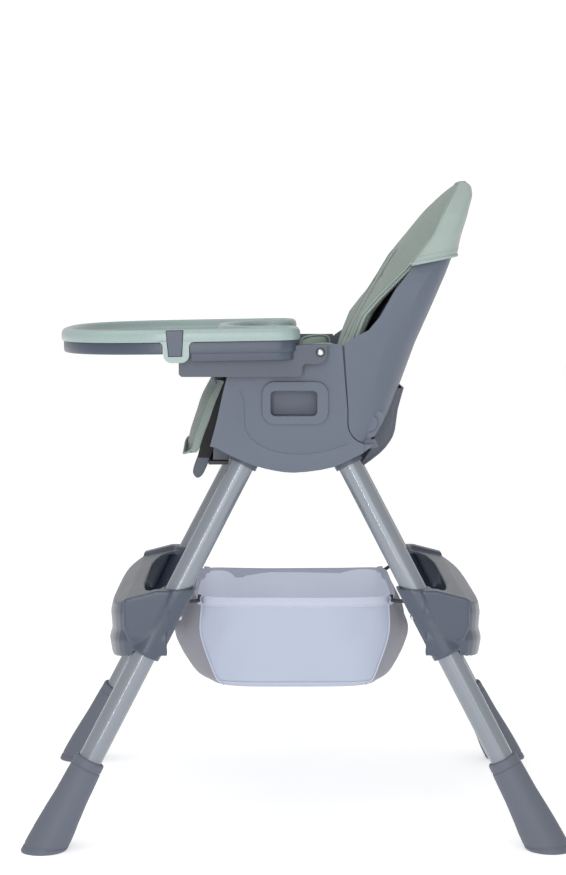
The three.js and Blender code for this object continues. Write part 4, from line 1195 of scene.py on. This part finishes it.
def basket_skin(share):
    """Rings of the basket by share of its height: squared ovals whose ends bulge, with slow waves that
    stand for the slack in the cloth and die away at the hooks."""
    rows = np.asarray(BASKET_RINGS, dtype=float)
    smooth = smooth_line(rows, 200)
    half_x, half_y, z, bulge, power = (
        np.interp(share, smooth[:, 0], smooth[:, k])[:, None] for k in range(1, 6))
    angle = np.linspace(0, 2 * np.pi, BASKET_COLUMNS, endpoint=False)[None, :] + 0.001
    c, s = np.cos(angle), np.sin(angle)
    x = half_x * np.sign(c) * np.abs(c) ** power
    reach = half_y + (bulge - 5.0 * s * bulge / 40) * (1 - np.abs(c) ** 1.2)
    y = reach * np.sign(s) * np.abs(s) ** power
    up = np.asarray(share)[:, None]
    loose = np.sin(np.pi * np.clip(up, 0, 1)) ** 0.7
    wave = 1.6 * np.sin(y * 0.045 + up * 3.1) + 0.9 * np.sin(y * 0.11 - up * 6.0 + 1.0)
    x = x - np.sign(x) * loose * (2.0 + wave) * (np.abs(c) ** 0.5)
    rib = 2.2 * np.sin(x * 0.07 + up * 4.0) * loose * np.abs(s) ** 0.5
    y = y - np.sign(y) * (rib + 2.0 * loose * np.abs(s))
    slack = np.cos(np.clip(y / 150, -1, 1) * np.pi / 2)
    sag = -2.5 * np.abs(c) ** 2 * slack * np.clip(up, 0, 1) ** 3
    return np.stack([x, y, z + sag], axis=-1)


def basket_floor(ring):
    """The bottom: the lowest ring drawn in to its middle, sagging 1.2 mm."""
    rows = []
    for part in (0.97, 0.9, 0.7, 0.45, 0.2, 0.0):
        row = ring * [part, part, 0] + [0, 0, 1] * ring
        row[:, 2] = ring[:, 2] - 1.2 * (1 - part**2)
        rows.append(row)
    return np.stack(rows[::-1])


basket_wall = basket_skin(np.linspace(0, 1, 44))
basket_grid = np.concatenate([basket_floor(basket_wall[0]), basket_wall])
basket = placed("basket_cloth", new_mesh("basket", *surface(basket_grid, close_columns=True)),
                [lavender, taupe, painted_glow_nylon], "chair", "basket_cloth", "basket", sharp=60)
rows, columns = np.mgrid[:len(basket_grid) - 1, :BASKET_COLUMNS]
ends = (np.abs(columns % 80 - 39.5) < 20) & (rows >= 5)
basket.data.polygons.foreach_set("material_index", ends.ravel()[-len(basket.data.polygons):].astype(np.int32))
thickened(basket, 1.2)
# The inner face of the cloth takes the painted glow nylon.
basket.modifiers["thickness"].material_offset = 2


def hem_band(wall, tall, proud):
    """A folded band over the top edge: up the outside, over the rim and down the inside."""
    outward = wall[-1] * [1, 1, 0]
    outward /= np.linalg.norm(outward, axis=1)[:, None]
    rows = [(-tall, 0.2), (-tall + 0.6, proud), (-tall / 2, proud), (-0.8, proud), (0.6, proud * 0.5),
            (1.0, -0.6), (0.4, -1.6), (-1.0, -2.2), (-tall / 2, -2.2), (-tall, -2.0)]
    return np.stack([wall[-1] + [0, 0, rise] + outward * out for rise, out in rows])


band = lofted("basket_hem", hem_band(basket_wall, 15.0, 0.9), band_cloth, "chair", "basket_cloth",
              ends="joined", sharp=50)
stitch_ring = basket_wall[-1] * [1.008, 1.008, 1] - [0, 0, 13.0]
stitches("basket_hem_stitching", np.vstack([stitch_ring, stitch_ring[:1]]), band_cloth, "chair",
         "basket_cloth", 3.0, 1.4, 0.3)
for side, end, name in CORNERS:
    column = {(1, 1): 20, (-1, 1): 60, (-1, -1): 100, (1, -1): 140}[(side, end)]
    line = basket_wall[:-4, column] + [side * 0.9, end * 0.9, 0]
    lofted(f"basket_piping_{name}", tube_along(line, 1.3, 8), band_cloth, "chair",
                        "basket_cloth")
for side, name in SIDES:
    low = basket_wall[2]
    columns = (np.arange(-20, 21) + (0 if side > 0 else 80)) % BASKET_COLUMNS
    line = low[columns] + [side * 0.8, 0, 0]
    lofted(f"basket_bottom_piping_{name}", tube_along(line, 1.2, 8), band_cloth, "chair",
                        "basket_cloth")
for side, end, name in CORNERS:
    hook = smooth_line([
        (side * 135.6, end * 144.2, 354), (side * 135.8, end * 144.6, 349),
        (side * 138.6, end * 146.2, 346), (side * 162, end * 158.4, 348.8),
        (side * 190, end * 172.8, 352)], 30)
    lofted(f"basket_hook_{name}_bent", tube_along(hook, 2.9, 12), black_plastic, "chair", "dark_plastic",
           f"basket_hook_{name}")
    loop_angle = np.linspace(0, 2 * np.pi, 25)
    reach = 4.6 * np.cos(loop_angle)
    loop = np.column_stack([side * (133.5 + 0.7 * reach), end * (142.2 + 0.7 * reach),
                            347.0 + 6.5 * np.sin(loop_angle)])
    lofted(f"basket_loop_{name}", strap(loop, (0.7, -0.7 * side * end, 0), 9, 1.4), band_cloth, "chair",
           "basket_cloth")
